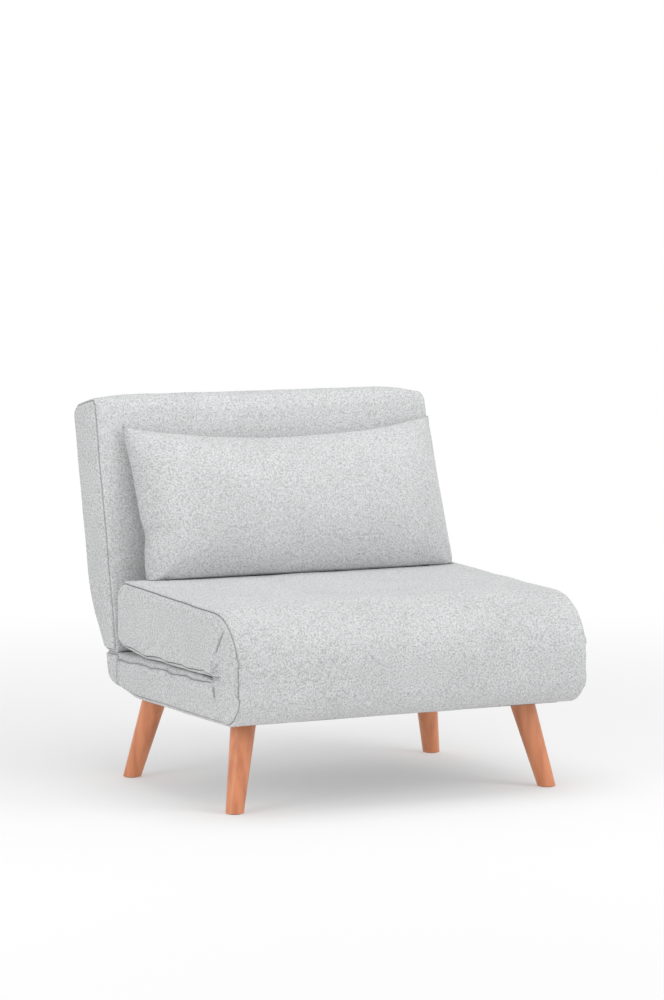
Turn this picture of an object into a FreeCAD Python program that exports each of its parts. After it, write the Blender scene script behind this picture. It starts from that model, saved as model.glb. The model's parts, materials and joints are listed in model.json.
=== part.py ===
"""Convertible chair bed: a folded seat, a ratchet backrest, four splayed wooden legs and a pillow.

X is the chair's width, +Y points to its back and +Z is up, in millimetres. The floor is Z = 0.
The seat is two upholstered sections folded face to face. The upper one, the foot section, turns over
forwards about the hinge line behind the rounded front, and the backrest lies flat behind the base.
"""
import FreeCAD, Part
import Sketcher
import os

SIZES = [
    # The whole chair, seen from the side
    ("seat_width", 750), ("front_y", -385), ("seat_front_z", 383), ("seat_rear_z", 402),
    ("foot_end_y", 172), ("foot_end_low_z", 272), ("foot_low_y", 60), ("foot_front_round", 112),
    ("foot_end_round", 60), ("foot_low_round", 20), ("base_bottom_z", 172), ("base_slope_y", 95),
    ("base_rear_y", 177), ("base_rear_z", 186.5), ("base_front_round", 60),
    # Fold line at the front and the clearances round it
    ("hinge_y", -375), ("hinge_z", 257), ("fold_gap", 4), ("soft_gap", 0.3), ("fabric", 2),
    # Backrest, measured along its lean from the rear hinge line
    ("back_lean", 11.7), ("back_length", 520), ("back_thick", 110), ("back_low_thick", 54),
    ("back_taper", 128), ("back_front_round", 15), ("back_rear_round", 25), ("gusset_reach", 41),
    ("gusset_round", 35),
    # Welded frames of square steel tube
    ("tube", 20), ("tube_wall", 1.2), ("frame_lift", 17), ("frame_setback", 30), ("frame_inset", 23),
    ("bed_foam", 60), ("foot_frame_end", 110), ("back_foam", 45), ("back_frame_low", 44),
    ("back_frame_top", 30), ("back_cross", 380),
    # Sprung slats in moulded caps
    ("slat_wide", 50), ("slat_thick", 8), ("slat_bow", 6), ("slat_pitch", 80), ("slat_play", 0.3),
    ("cap_long", 24), ("cap_wall", 3), ("base_slats", 6), ("foot_slats", 5), ("back_slats", 4),
    ("slat_edge", 7), ("back_pitch", 68),
    # Front hinges and the ratchet hinges of the back
    ("arm_thick", 4), ("hinge_side", 75), ("hinge_eye", 7), ("hinge_pin", 3), ("turn_fit", 0.05),
    ("side_gap", 0.3), ("head_thick", 2.5), ("head_lip", 2.5), ("ratchet_eye", 15), ("ratchet_pin", 4),
    ("ratchet_cap", 13), ("cap_thick", 3.5), ("arm_root", 40), ("arm_heel", 5), ("arm_reach", 50),
    ("room", 4),
    # Bent tube legs of the foot section and of the backrest
    ("leg_bar", 7), ("leg_clear", 30), ("leg_bend", 30), ("leg_over", 5), ("axle", 4), ("lug_eye", 7),
    ("sleeve", 10), ("sleeve_long", 40), ("sleeve_set", 90), ("foot_leg_out", 25), ("foot_leg_up", 45),
    ("recess_side", 75), ("recess_deep", 48), ("head_leg_out", 11), ("head_leg_up", 10),
    # Turned wooden legs, plates and bolts
    ("leg_side", 33), ("leg_front_set", 92), ("leg_rear_over", 7), ("leg_splay", 17.3), ("leg_foot", 17.4),
    ("leg_taper", 1.45), ("plate_thick", 3), ("plate_size", 90), ("boss", 9), ("boss_tall", 12),
    ("bolt", 4), ("bolt_deep", 45), ("nut", 7.5), ("nut_tall", 6), ("pad", 13), ("pad_tall", 1.5),
    ("dust_thick", 0.8), ("dust_edge", 30), ("flange", 40),
    # Loose pillow
    ("pillow_short", 50), ("pillow_tall", 322), ("pillow_front", 90), ("pillow_rear", 40),
    ("pillow_edge", 5), ("pillow_lean", 19.95), ("pillow_foot_y", 138.0668), ("pillow_foot_z", 397.5615),
    ("pillow_x", 18), ("pillow_flat", 360), ("pillow_full", 0.78),
]

doc = FreeCAD.newDocument("chair_bed")
sheet = doc.addObject("Spreadsheet::Sheet", "Sizes")
for row, (alias, number) in enumerate(SIZES, start=1):
    sheet.set(f"A{row}", alias.replace("_", " "))
    sheet.set(f"B{row}", str(number))
    sheet.setAlias(f"B{row}", alias)
doc.recompute()

# Planes and lines that several pieces share, as formulas over the sheet
HALF = "(Sizes.seat_width / 2)"
BASE_TOP = "(Sizes.hinge_z - Sizes.fold_gap)"
FOOT_BOTTOM = "(Sizes.hinge_z + Sizes.fold_gap)"
SKIN = "(Sizes.fabric + Sizes.soft_gap)"
FRAME_HALF = "(Sizes.seat_width / 2 - Sizes.frame_inset)"
FRAME_Z = "(Sizes.base_bottom_z + Sizes.frame_lift)"
FRAME_FRONT = "(Sizes.hinge_y + Sizes.frame_setback)"
FRAME_REAR = "(Sizes.base_rear_y - Sizes.soft_gap - Sizes.fabric - Sizes.side_gap)"
FOOT_FRAME_Z = f"({FOOT_BOTTOM} + Sizes.bed_foam)"
BACK_FRAME_HALF = f"({FRAME_HALF} - Sizes.side_gap - Sizes.arm_thick)"
PILLOW_HALF = f"({HALF} - Sizes.pillow_short / 2)"
HINGE_X = f"({HALF} - Sizes.hinge_side)"
RECESS_HALF = f"({HALF} - Sizes.recess_side)"
RECESS_Y = "(Sizes.foot_end_y - Sizes.recess_deep)"
LEG_REACH = f"({RECESS_HALF} - Sizes.leg_clear)"
FOOT_LEG_Y = "(Sizes.foot_frame_end + Sizes.foot_leg_out)"
FOOT_LEG_Z = f"({FOOT_FRAME_Z} + Sizes.tube + Sizes.foot_leg_up)"
HEAD_LEG_S = "(Sizes.back_cross + Sizes.head_leg_up)"
LEG_X = f"({HALF} - Sizes.leg_side)"
LEG_FRONT_Y = "(Sizes.front_y + Sizes.leg_front_set)"
LEG_REAR_Y = "(Sizes.base_rear_y + Sizes.leg_rear_over)"
LEG_TOP = f"({FRAME_Z} - Sizes.plate_thick)"
SPLAY_RUN = "(tan(Sizes.leg_splay) / sqrt(2))"
HINGE_NOTCH = (
    f"({HINGE_X} - Sizes.head_thick - Sizes.side_gap - 1)",
    f"({HINGE_X} + 2 * Sizes.arm_thick + Sizes.head_thick + 3 * Sizes.side_gap + 1)",
)
RATCHET_NOTCH = (
    f"({FRAME_HALF} - Sizes.tube - 2 * Sizes.arm_thick - Sizes.cap_thick - Sizes.head_thick - Sizes.room)",
    f"({FRAME_HALF} - Sizes.tube + Sizes.head_thick + Sizes.room)",
)
FAR = "2000"

kept = []


def value(formula):
    """The number that a formula over the sheet stands for."""
    return float(sheet.evalExpression(formula))


def keep(piece, label):
    """Names a finished sub-part after the file that it is written to."""
    piece.Label = label
    kept.append(piece)
    return piece


def bind(piece, **formulas):
    """Ties properties of a piece to formulas over the sheet; two underscores stand for a dot."""
    for name, formula in formulas.items():
        piece.setExpression(name.replace("__", "."), formula)
    return piece


def box(x, y, z):
    """A block between two planes along each axis, each pair given as formulas."""
    block = doc.addObject("Part::Box", "block")
    for size, axis, (low, high) in (("Length", "x", x), ("Width", "y", y), ("Height", "z", z)):
        block.setExpression(size, f"({high}) - ({low})")
        block.setExpression(f"Placement.Base.{axis}", low)
    return block


def rod(radius, x, y, z):
    """A round bar along X between two planes, centred at y and z."""
    bar = doc.addObject("Part::Cylinder", "rod")
    bar.Placement.Rotation = FreeCAD.Rotation(FreeCAD.Vector(0, 1, 0), 90)
    bind(bar, Radius=radius, Height=f"({x[1]}) - ({x[0]})")
    return bind(bar, Placement__Base__x=x[0], Placement__Base__y=y, Placement__Base__z=z)


def fuse(*pieces):
    """One solid out of pieces that touch or overlap."""
    joined = doc.addObject("Part::MultiFuse", "fused")
    joined.Shapes = list(pieces)
    return joined


def cut(piece, *tools):
    """The piece with every tool taken out of it."""
    result = doc.addObject("Part::Cut", "cut")
    result.Base = piece
    result.Tool = tools[0] if len(tools) == 1 else group(*tools)
    return result


def common(piece, other):
    """What two solids share."""
    result = doc.addObject("Part::Common", "common")
    result.Base = piece
    result.Tool = other
    return result


def group(*pieces):
    """Separate solids kept together as one sub-part or one cutting tool."""
    together = doc.addObject("Part::Compound", "group")
    together.Links = list(pieces)
    return together


def mirrored(piece):
    """The same piece on the other side of the chair."""
    other = doc.addObject("Part::Mirroring", "mirrored")
    other.Source = piece
    other.Normal = FreeCAD.Vector(1, 0, 0)
    return other


def both_sides(piece):
    """A piece and its mirror image as one sub-part."""
    return group(piece, mirrored(piece))


def attach(sketch, body, role):
    """Lays a sketch on one of its own body's origin planes."""
    plane = next(face for face in body.Origin.OriginFeatures if face.Role == role)
    sketch.AttachmentSupport = [(plane, "")]
    sketch.MapMode = "FlatFace"


def polygon(sketch, outline):
    """A closed chain of lines whose corners are each tied to a pair of formulas."""
    corners = [(value(point[0]), value(point[1])) for point in outline]
    count = len(corners)
    for start in range(count):
        ends = corners[start], corners[(start + 1) % count]
        sketch.addGeometry(Part.LineSegment(*(FreeCAD.Vector(a, b, 0) for a, b in ends)), False)
    for start in range(count):
        sketch.addConstraint(Sketcher.Constraint("Coincident", start, 2, (start + 1) % count, 1))
    for corner, point in enumerate(outline):
        for way, formula, place in zip(("DistanceX", "DistanceY"), point[:2], corners[corner]):
            index = sketch.addConstraint(Sketcher.Constraint(way, -1, 1, corner, 1, place))
            sketch.setExpression(f"Constraints[{index}]", formula)


def slab(outline, x):
    """A body with the given side outline in Y and Z, padded from one X plane to another.

    A third formula in a corner of the outline is the radius that its edge is rounded to.
    """
    body = doc.addObject("PartDesign::Body", "slab")
    sketch = body.newObject("Sketcher::SketchObject", "outline")
    attach(sketch, body, "YZ_Plane")
    sketch.setExpression("AttachmentOffset.Base.z", x[0])
    polygon(sketch, outline)
    pad = body.newObject("PartDesign::Pad", "pad")
    pad.Profile = sketch
    bind(pad, Length=f"({x[1]}) - ({x[0]})")
    doc.recompute()
    feature = pad
    for point in outline:
        if len(point) == 2:
            continue
        across, up, radius = value(point[0]), value(point[1]), point[2]
        names = [
            f"Edge{number}"
            for number, edge in enumerate(feature.Shape.Edges, start=1)
            if abs(edge.CenterOfMass.y - across) < 0.01 and abs(edge.CenterOfMass.z - up) < 0.01
        ]
        fillet = body.newObject("PartDesign::Fillet", "round")
        fillet.Base = (feature, names)
        bind(fillet, Radius=radius)
        feature = fillet
        doc.recompute()
    return body


def full_width(inset="0"):
    """The two X planes of a piece that spans the chair, set in from its sides."""
    return f"-{HALF} + {inset}", f"{HALF} - {inset}"


def in_back(piece, out="0", along="0", turn="0"):
    """Moves a piece made upright into the leaning back, out from its front face and along its lean."""
    lean = "Sizes.back_lean"
    piece.Placement.Rotation = FreeCAD.Rotation(FreeCAD.Vector(1, 0, 0), 1)
    return bind(
        piece,
        Placement__Rotation__Angle=f"({turn}) - {lean}",
        Placement__Base__y=f"Sizes.base_rear_y + ({out}) * cos({lean}) + ({along}) * sin({lean})",
        Placement__Base__z=f"{BASE_TOP} - ({out}) * sin({lean}) + ({along}) * cos({lean})",
    )


def tube_frame(length, depth, half, crosses=(), upright=False):
    """A welded rectangle of hollow square tube with cross rails.

    length is its run along the section, depth its two faces, and half its half width.
    """

    def rails(wall):
        low, high = length
        runs = [(f"{low} + {wall}", f"{low} + Sizes.tube - {wall}")]
        runs.append((f"{high} - Sizes.tube + {wall}", f"{high} - {wall}"))
        runs.extend((f"{start} + {wall}", f"{start} + Sizes.tube - {wall}") for start in crosses)
        thick = (f"{depth[0]} + {wall}", f"{depth[1]} - {wall}")
        pieces = []
        for run in runs:
            pieces.append(((f"-{half} + {wall}", f"{half} - {wall}"), run, thick))
        outer, inner = f"({half} - {wall})", f"({half} - Sizes.tube + {wall})"
        for sides in ((f"-{outer}", f"-{inner}"), (inner, outer)):
            pieces.append((sides, (f"{low} + {wall}", f"{high} - {wall}"), thick))
        if upright:
            return fuse(*(box(x, thick, run) for x, run, thick in pieces))
        return fuse(*(box(x, run, thick) for x, run, thick in pieces))

    return cut(rails("0"), rails("Sizes.tube_wall"))


def slat_row(half, count, pitch="Sizes.slat_pitch"):
    """Bowed plywood slats, side by side along Y, crowned towards +Z."""
    body = doc.addObject("PartDesign::Body", "slats")
    body.AllowCompound = True
    sketch = body.newObject("Sketcher::SketchObject", "bow")
    attach(sketch, body, "XZ_Plane")
    end, thick, bow = value(half), value("Sizes.slat_thick"), value("Sizes.slat_bow")
    corners = [FreeCAD.Vector(a, b, 0) for a, b in ((-end, 0), (-end, thick), (end, thick), (end, 0))]
    sketch.addGeometry(Part.LineSegment(corners[0], corners[1]), False)
    sketch.addGeometry(Part.Arc(corners[1], FreeCAD.Vector(0, thick + bow, 0), corners[2]), False)
    sketch.addGeometry(Part.LineSegment(corners[2], corners[3]), False)
    sketch.addGeometry(Part.Arc(corners[3], FreeCAD.Vector(0, bow, 0), corners[0]), False)
    pad = body.newObject("PartDesign::Pad", "pad")
    pad.Profile = sketch
    pad.Reversed = True
    bind(pad, Length="Sizes.slat_wide")
    pattern = body.newObject("PartDesign::LinearPattern", "row")
    pattern.Originals = [pad]
    pattern.Direction = (next(line for line in body.Origin.OriginFeatures if line.Role == "Y_Axis"), [""])
    pattern.Occurrences = int(value(count))
    bind(pattern, Length=f"({count} - 1) * {pitch}")
    body.Tip = pattern
    return body


def slat_caps(half, count, pitch="Sizes.slat_pitch"):
    """The moulded pockets that hold the slats' ends against the side rails."""
    caps = []
    for number in range(int(value(count))):
        start = f"{number} * {pitch}"
        inner = f"({half} - Sizes.cap_long)"
        run = (f"{start} - Sizes.cap_wall", f"{start} + Sizes.slat_wide + Sizes.cap_wall")
        body = box((inner, half), run, ("-Sizes.cap_wall", "Sizes.slat_thick + Sizes.cap_wall + 1"))
        play = "Sizes.slat_play"
        run = (f"{start} - {play}", f"{start} + Sizes.slat_wide + {play}")
        depth = (f"-{play}", f"Sizes.slat_thick + 1 + {play}")
        pocket = box((f"{inner} - 1", f"{half} - Sizes.cap_wall"), run, depth)
        caps.append(cut(body, pocket))
    return both_sides(group(*caps))


def arm(outline, eye, eye_radius, hole_radius, x):
    """A flat steel arm: its outline, the round eye at its end and the hole through the eye."""
    plate = slab(outline, x)
    disc = rod(eye_radius, x, *eye)
    hole = rod(hole_radius, (f"({x[0]}) - 1", f"({x[1]}) + 1"), *eye)
    return cut(fuse(plate, disc), hole)


def headed_pin(radius, x, eye):
    """A riveted pin along X, with a flat head outside each of the planes that it holds together."""
    shank = rod(radius, (f"{x[0]} - Sizes.head_thick", f"{x[1]} + Sizes.head_thick"), *eye)
    heads = [
        rod(f"({radius} + Sizes.head_lip)", (f"{x[0]} - Sizes.head_thick", x[0]), *eye),
        rod(f"({radius} + Sizes.head_lip)", (x[1], f"{x[1]} + Sizes.head_thick"), *eye),
    ]
    return fuse(shank, *heads)


def bent_leg(length):
    """A U of round steel tube, hung from its pivot at the origin, with its bar at the floor end.

    The tube is hollow along its straight runs.
    """
    body = doc.addObject("PartDesign::Body", "bent_leg")
    spine = body.newObject("Sketcher::SketchObject", "spine")
    attach(spine, body, "XZ_Plane")
    reach, bend, over = value(LEG_REACH), value("Sizes.leg_bend"), value("Sizes.leg_over")
    drop = value(f"{length} - Sizes.sleeve")
    slope = bend * (1 - 0.5 ** 0.5)
    left = [(-reach, over), (-reach, bend - drop), (slope - reach, slope - drop), (bend - reach, -drop)]
    right = [(-across, up) for across, up in reversed(left)]
    points = [FreeCAD.Vector(across, up, 0) for across, up in left + right]
    spine.addGeometry(Part.LineSegment(points[0], points[1]), False)
    spine.addGeometry(Part.Arc(*points[1:4]), False)
    spine.addGeometry(Part.LineSegment(points[3], points[4]), False)
    spine.addGeometry(Part.Arc(*points[4:7]), False)
    spine.addGeometry(Part.LineSegment(points[6], points[7]), False)
    ring = body.newObject("Sketcher::SketchObject", "round_section")
    attach(ring, body, "XY_Plane")
    bind(ring, AttachmentOffset__Base__x=f"-{LEG_REACH}", AttachmentOffset__Base__z="Sizes.leg_over")
    circle = Part.Circle(FreeCAD.Vector(0, 0, 0), FreeCAD.Vector(0, 0, 1), value("Sizes.leg_bar"))
    ring.addGeometry(circle, False)
    ring.addConstraint(Sketcher.Constraint("Coincident", 0, 3, -1, 1))
    radial = ring.addConstraint(Sketcher.Constraint("Radius", 0, value("Sizes.leg_bar")))
    ring.setExpression(f"Constraints[{radial}]", "Sizes.leg_bar")
    pipe = body.newObject("PartDesign::AdditivePipe", "pipe")
    pipe.Profile = ring
    pipe.Spine = (spine, [f"Edge{number}" for number in range(1, 6)])
    bores = [rod("(Sizes.axle + 0.02)", (f"-{FAR}", FAR), "0", "0")]
    bore = "(Sizes.leg_bar - Sizes.tube_wall)"
    run = f"({LEG_REACH} - Sizes.leg_bend)"
    bores.append(rod(bore, (f"-{run}", run), "0", f"Sizes.sleeve - {length}"))
    for side in ("-1", "1"):
        upright = doc.addObject("Part::Cylinder", "bore")
        bind(upright, Radius=bore, Height=f"{length} + Sizes.leg_over - Sizes.leg_bend")
        bind(upright, Placement__Base__x=f"{side} * {LEG_REACH}")
        bores.append(bind(upright, Placement__Base__z=f"Sizes.leg_bend + Sizes.sleeve - {length}"))
    return cut(body, *bores)


def leg_axle():
    """The rod that turns in the lugs and carries the bent leg, as a group that is placed as a whole."""
    end = f"({LEG_REACH} + Sizes.leg_bar + Sizes.side_gap + Sizes.arm_thick + 1.5)"
    return group(rod("Sizes.axle", (f"-{end}", end), "0", "0"))


def leg_sleeves(length):
    """Rubber sleeves on the bar, which meet the floor."""
    x = (f"({LEG_REACH} - Sizes.sleeve_set)", f"({LEG_REACH} - Sizes.sleeve_set + Sizes.sleeve_long)")
    down = f"Sizes.sleeve - {length}"
    outer = rod("Sizes.sleeve", x, "0", down)
    inner = rod("(Sizes.leg_bar + Sizes.turn_fit)", (f"{x[0]} - 1", f"{x[1]} + 1"), "0", down)
    return both_sides(cut(outer, inner))


def place(piece, y, z):
    """Sets a piece that was made round the origin at the given Y and Z."""
    return bind(piece, Placement__Base__y=y, Placement__Base__z=z)


def side_boxes(x, y, z):
    """The same cutting block on both sides of the chair."""
    return both_sides(box(x, y, z))


def base_outline(inset="0"):
    """The base's side: a rounded nose, a level underside that rises at the rear and a level top."""
    rear = f"Sizes.base_rear_y - Sizes.soft_gap - {inset}"
    return [
        (f"Sizes.front_y + {inset}", f"Sizes.base_bottom_z + {inset}", f"Sizes.base_front_round - {inset}"),
        ("Sizes.base_slope_y", f"Sizes.base_bottom_z + {inset}"),
        (rear, f"Sizes.base_rear_z + {inset}"),
        (rear, f"{BASE_TOP} - {inset}"),
        (f"Sizes.front_y + {inset}", f"{BASE_TOP} - {inset}"),
    ]


def foot_outline(inset="0"):
    """The folded foot section's side: its far end lies over the base's rear, thick and rounded."""
    end = f"Sizes.foot_end_y - {inset}"
    return [
        (f"Sizes.front_y + {inset}", f"{FOOT_BOTTOM} + {inset}"),
        ("Sizes.foot_low_y", f"{FOOT_BOTTOM} + {inset}"),
        (end, f"Sizes.foot_end_low_z + {inset}", f"Sizes.foot_low_round - {inset}"),
        (end, f"Sizes.seat_rear_z - {inset}", f"Sizes.foot_end_round - {inset}"),
        (f"Sizes.front_y + {inset}", f"Sizes.seat_front_z - {inset}", f"Sizes.foot_front_round - {inset}"),
    ]


def back_outline(inset="0"):
    """The backrest's side in its own upright frame; its lower face is level once it leans."""
    low = "Sizes.back_low_thick"
    return [
        (inset, f"Sizes.soft_gap + {inset}"),
        (inset, f"Sizes.back_length - {inset}", f"Sizes.back_front_round - {inset}"),
        (f"Sizes.back_thick - {inset}", f"Sizes.back_length - {inset}", f"Sizes.back_rear_round - {inset}"),
        (f"Sizes.back_thick - {inset}", "Sizes.back_taper"),
        (f"{low} - {inset}", f"{low} * tan(Sizes.back_lean) + Sizes.soft_gap + {inset}"),
    ]


def section(outline, inset="0"):
    """A cushion section as wide as the chair, set in from its outer skin."""
    return slab(outline(inset), full_width(inset))


ALL_X = (f"-{FAR}", FAR)
ALL_Y = (f"-{FAR}", FAR)
ALL_Z = (f"-{FAR}", FAR)


def front_face(inset="0"):
    """Everything in front of the fold plane."""
    return box(ALL_X, (f"-{FAR}", f"Sizes.hinge_y + Sizes.soft_gap + {inset}"), ALL_Z)


def build_base():
    """The base: frame, slats, foam, cover and dust cover."""
    sides = (FRAME_Z, f"({FRAME_Z} + Sizes.tube)")
    keep(tube_frame((FRAME_FRONT, FRAME_REAR), sides, FRAME_HALF), "base_frame")

    rail_x = f"({FRAME_HALF} - Sizes.tube)"
    slat_y = f"({FRAME_FRONT} + Sizes.tube + Sizes.slat_edge)"
    slat_z = f"({FRAME_Z} + Sizes.tube - Sizes.slat_thick - Sizes.slat_bow)"
    slats = slat_row(f"({rail_x} - Sizes.cap_wall - Sizes.slat_play)", "Sizes.base_slats")
    keep(place(slats, slat_y, slat_z), "base_slats")
    caps = slat_caps(rail_x, "Sizes.base_slats")
    keep(place(caps, slat_y, slat_z), "base_slat_caps")

    top = f"{FRAME_Z} + Sizes.tube + Sizes.soft_gap"
    ratchet_room = side_boxes(RATCHET_NOTCH, (f"Sizes.base_rear_y - Sizes.arm_root - {SKIN}", FAR), ALL_Z)
    hinge_room = side_boxes(HINGE_NOTCH, (f"-{FAR}", f"{FRAME_FRONT} + {SKIN}"), ALL_Z)
    foam = section(base_outline, SKIN)
    lower = box(ALL_X, ALL_Y, (f"-{FAR}", top))
    keep(cut(cut(cut(cut(foam, lower), front_face(SKIN)), ratchet_room), hinge_room), "base_foam")

    outer = cut(section(base_outline), front_face())
    inner = cut(section(base_outline, "Sizes.fabric"), front_face("Sizes.fabric"))
    window = box(
        (f"-{HALF} + Sizes.flange", f"{HALF} - Sizes.flange"),
        ("Sizes.front_y + Sizes.base_front_round", "Sizes.base_rear_y - Sizes.soft_gap - Sizes.fabric"),
        (f"-{FAR}", f"Sizes.base_rear_z + {SKIN}"),
    )
    eye = "2 * Sizes.ratchet_eye"
    near_top = (f"{BASE_TOP} - {eye}", FAR)
    hinge_slot = side_boxes(HINGE_NOTCH, (f"-{FAR}", f"Sizes.hinge_y + {eye}"), near_top)
    rear_room = ("Sizes.base_rear_y - Sizes.ratchet_eye - Sizes.room", FAR)
    ratchet_slot = side_boxes(RATCHET_NOTCH, rear_room, near_top)
    cover = cut(cut(cut(cut(outer, inner), window), hinge_slot), ratchet_slot)
    keep(cover, "base_cover")

    low = "Sizes.base_bottom_z - Sizes.dust_thick"
    slope = "(Sizes.base_rear_z - Sizes.base_bottom_z) / (Sizes.base_rear_y - Sizes.base_slope_y)"
    rear = f"(Sizes.base_rear_y - {SKIN} - Sizes.fabric)"
    rise = f"({rear} - Sizes.base_slope_y) * {slope}"
    sheet_outline = [
        ("Sizes.front_y + Sizes.base_front_round", low),
        ("Sizes.base_slope_y", low),
        (rear, f"{low} + {rise}"),
        (rear, f"{low} + {rise} + Sizes.dust_thick"),
        ("Sizes.base_slope_y", f"{low} + Sizes.dust_thick"),
        ("Sizes.front_y + Sizes.base_front_round", f"{low} + Sizes.dust_thick"),
    ]
    dust = slab(sheet_outline, full_width("Sizes.dust_edge"))
    openings = [
        leg_column(side, y_sign, "Sizes.leg_foot * Sizes.leg_taper + 4")
        for side in (-1, 1)
        for y_sign in (-1, 1)
    ]
    keep(cut(dust, *openings), "dust_cover")


def leg_foot_place(side, end):
    """Where a wooden leg meets the floor: side is -1 or 1, end is -1 at the front and 1 at the rear."""
    return f"({side}) * {LEG_X}", LEG_FRONT_Y if end < 0 else LEG_REAR_Y


def leg_column(side, end, radius):
    """A round bar along a wooden leg's splayed axis, longer than the leg at both ends."""
    x, y = leg_foot_place(side, end)
    bar = doc.addObject("Part::Cylinder", "column")
    bar.Placement.Rotation = FreeCAD.Rotation(FreeCAD.Vector(end, -side, 0), 1)
    return bind(
        bar,
        Radius=radius,
        Height="2 * Sizes.base_bottom_z",
        Placement__Rotation__Angle="Sizes.leg_splay",
        Placement__Base__x=x,
        Placement__Base__y=y,
    )


def along_leg(piece, side, end, up):
    """Sets a piece made upright on a wooden leg's axis, at the given distance along it from the floor."""
    x, y = leg_foot_place(side, end)
    piece.Placement.Rotation = FreeCAD.Rotation(FreeCAD.Vector(end, -side, 0), 1)
    step = f"({up}) * sin(Sizes.leg_splay) / sqrt(2)"
    return bind(
        piece,
        Placement__Rotation__Angle="Sizes.leg_splay",
        Placement__Base__x=f"{x} - ({side}) * {step}",
        Placement__Base__y=f"{y} - ({end}) * {step}",
        Placement__Base__z=f"({up}) * cos(Sizes.leg_splay)",
    )


def build_legs():
    """Four turned legs, splayed on the diagonal and cut level, with their plates, bolts and pads."""
    plates, bolts, pads = [], [], []
    leg_run = f"({LEG_TOP} / cos(Sizes.leg_splay))"
    for side, side_name in ((-1, "left"), (1, "right")):
        for end, end_name in ((-1, "front"), (1, "rear")):
            turned = doc.addObject("Part::Cone", "turned")
            over = "Sizes.leg_foot"
            bind(turned, Height=f"{leg_run} + 2 * {over}")
            rate = f"(Sizes.leg_foot * (Sizes.leg_taper - 1) / {leg_run})"
            bind(turned, Radius1=f"Sizes.leg_foot - {over} * {rate}")
            bind(turned, Radius2=f"Sizes.leg_foot + ({leg_run} + {over}) * {rate}")
            along_leg(turned, side, end, f"-{over}")
            level = common(turned, box(ALL_X, ALL_Y, ("Sizes.pad_tall", LEG_TOP)))
            hole = doc.addObject("Part::Cylinder", "bolt_hole")
            bind(hole, Radius="Sizes.bolt + Sizes.turn_fit", Height="2 * Sizes.bolt_deep")
            along_leg(hole, side, end, f"{leg_run} - Sizes.bolt_deep - 1")
            keep(cut(level, hole), f"leg_{end_name}_{side_name}")

            x, y = leg_foot_place(side, end)
            x_top = f"({x} - ({side}) * {LEG_TOP} * {SPLAY_RUN})"
            y_top = f"({y} - ({end}) * {LEG_TOP} * {SPLAY_RUN})"
            x_range = (f"{x_top} - Sizes.plate_size / 2", FRAME_HALF)
            if side < 0:
                x_range = (f"-{FRAME_HALF}", f"{x_top} + Sizes.plate_size / 2")
            y_range = (f"{y_top} - Sizes.plate_size / 2", f"{y_top} + Sizes.plate_size / 2")
            if end > 0:
                y_range = (f"{y_top} - Sizes.plate_size / 2", f"{FRAME_REAR} - Sizes.tube + Sizes.room")
            flat = box(x_range, y_range, (LEG_TOP, FRAME_Z))
            boss = doc.addObject("Part::Cylinder", "boss")
            bind(boss, Radius="Sizes.boss", Height="Sizes.boss_tall + Sizes.boss")
            along_leg(boss, side, end, f"{leg_run} - Sizes.boss")
            boss = common(boss, box(ALL_X, ALL_Y, (LEG_TOP, FAR)))
            hole = doc.addObject("Part::Cylinder", "plate_hole")
            bind(hole, Radius="Sizes.bolt + Sizes.turn_fit", Height="2 * Sizes.bolt_deep")
            along_leg(hole, side, end, f"{leg_run} - Sizes.bolt_deep")
            plates.append(cut(fuse(flat, boss), hole))

            shank = doc.addObject("Part::Cylinder", "bolt")
            bind(shank, Radius="Sizes.bolt", Height="Sizes.bolt_deep + Sizes.boss_tall + Sizes.nut_tall + 1")
            along_leg(shank, side, end, f"{leg_run} - Sizes.bolt_deep")
            nut = doc.addObject("Part::Prism", "nut")
            nut.Polygon = 6
            bind(nut, Circumradius="Sizes.nut", Height="Sizes.nut_tall")
            along_leg(nut, side, end, f"{leg_run} + Sizes.boss_tall")
            bolts.append(fuse(shank, nut))

            pad = doc.addObject("Part::Cylinder", "pad")
            bind(pad, Radius="Sizes.pad", Height="Sizes.pad_tall", Placement__Base__x=x, Placement__Base__y=y)
            pads.append(pad)
    keep(group(*plates), "leg_plates")
    keep(group(*bolts), "hanger_bolts")
    keep(group(*pads), "leg_pads")


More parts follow.
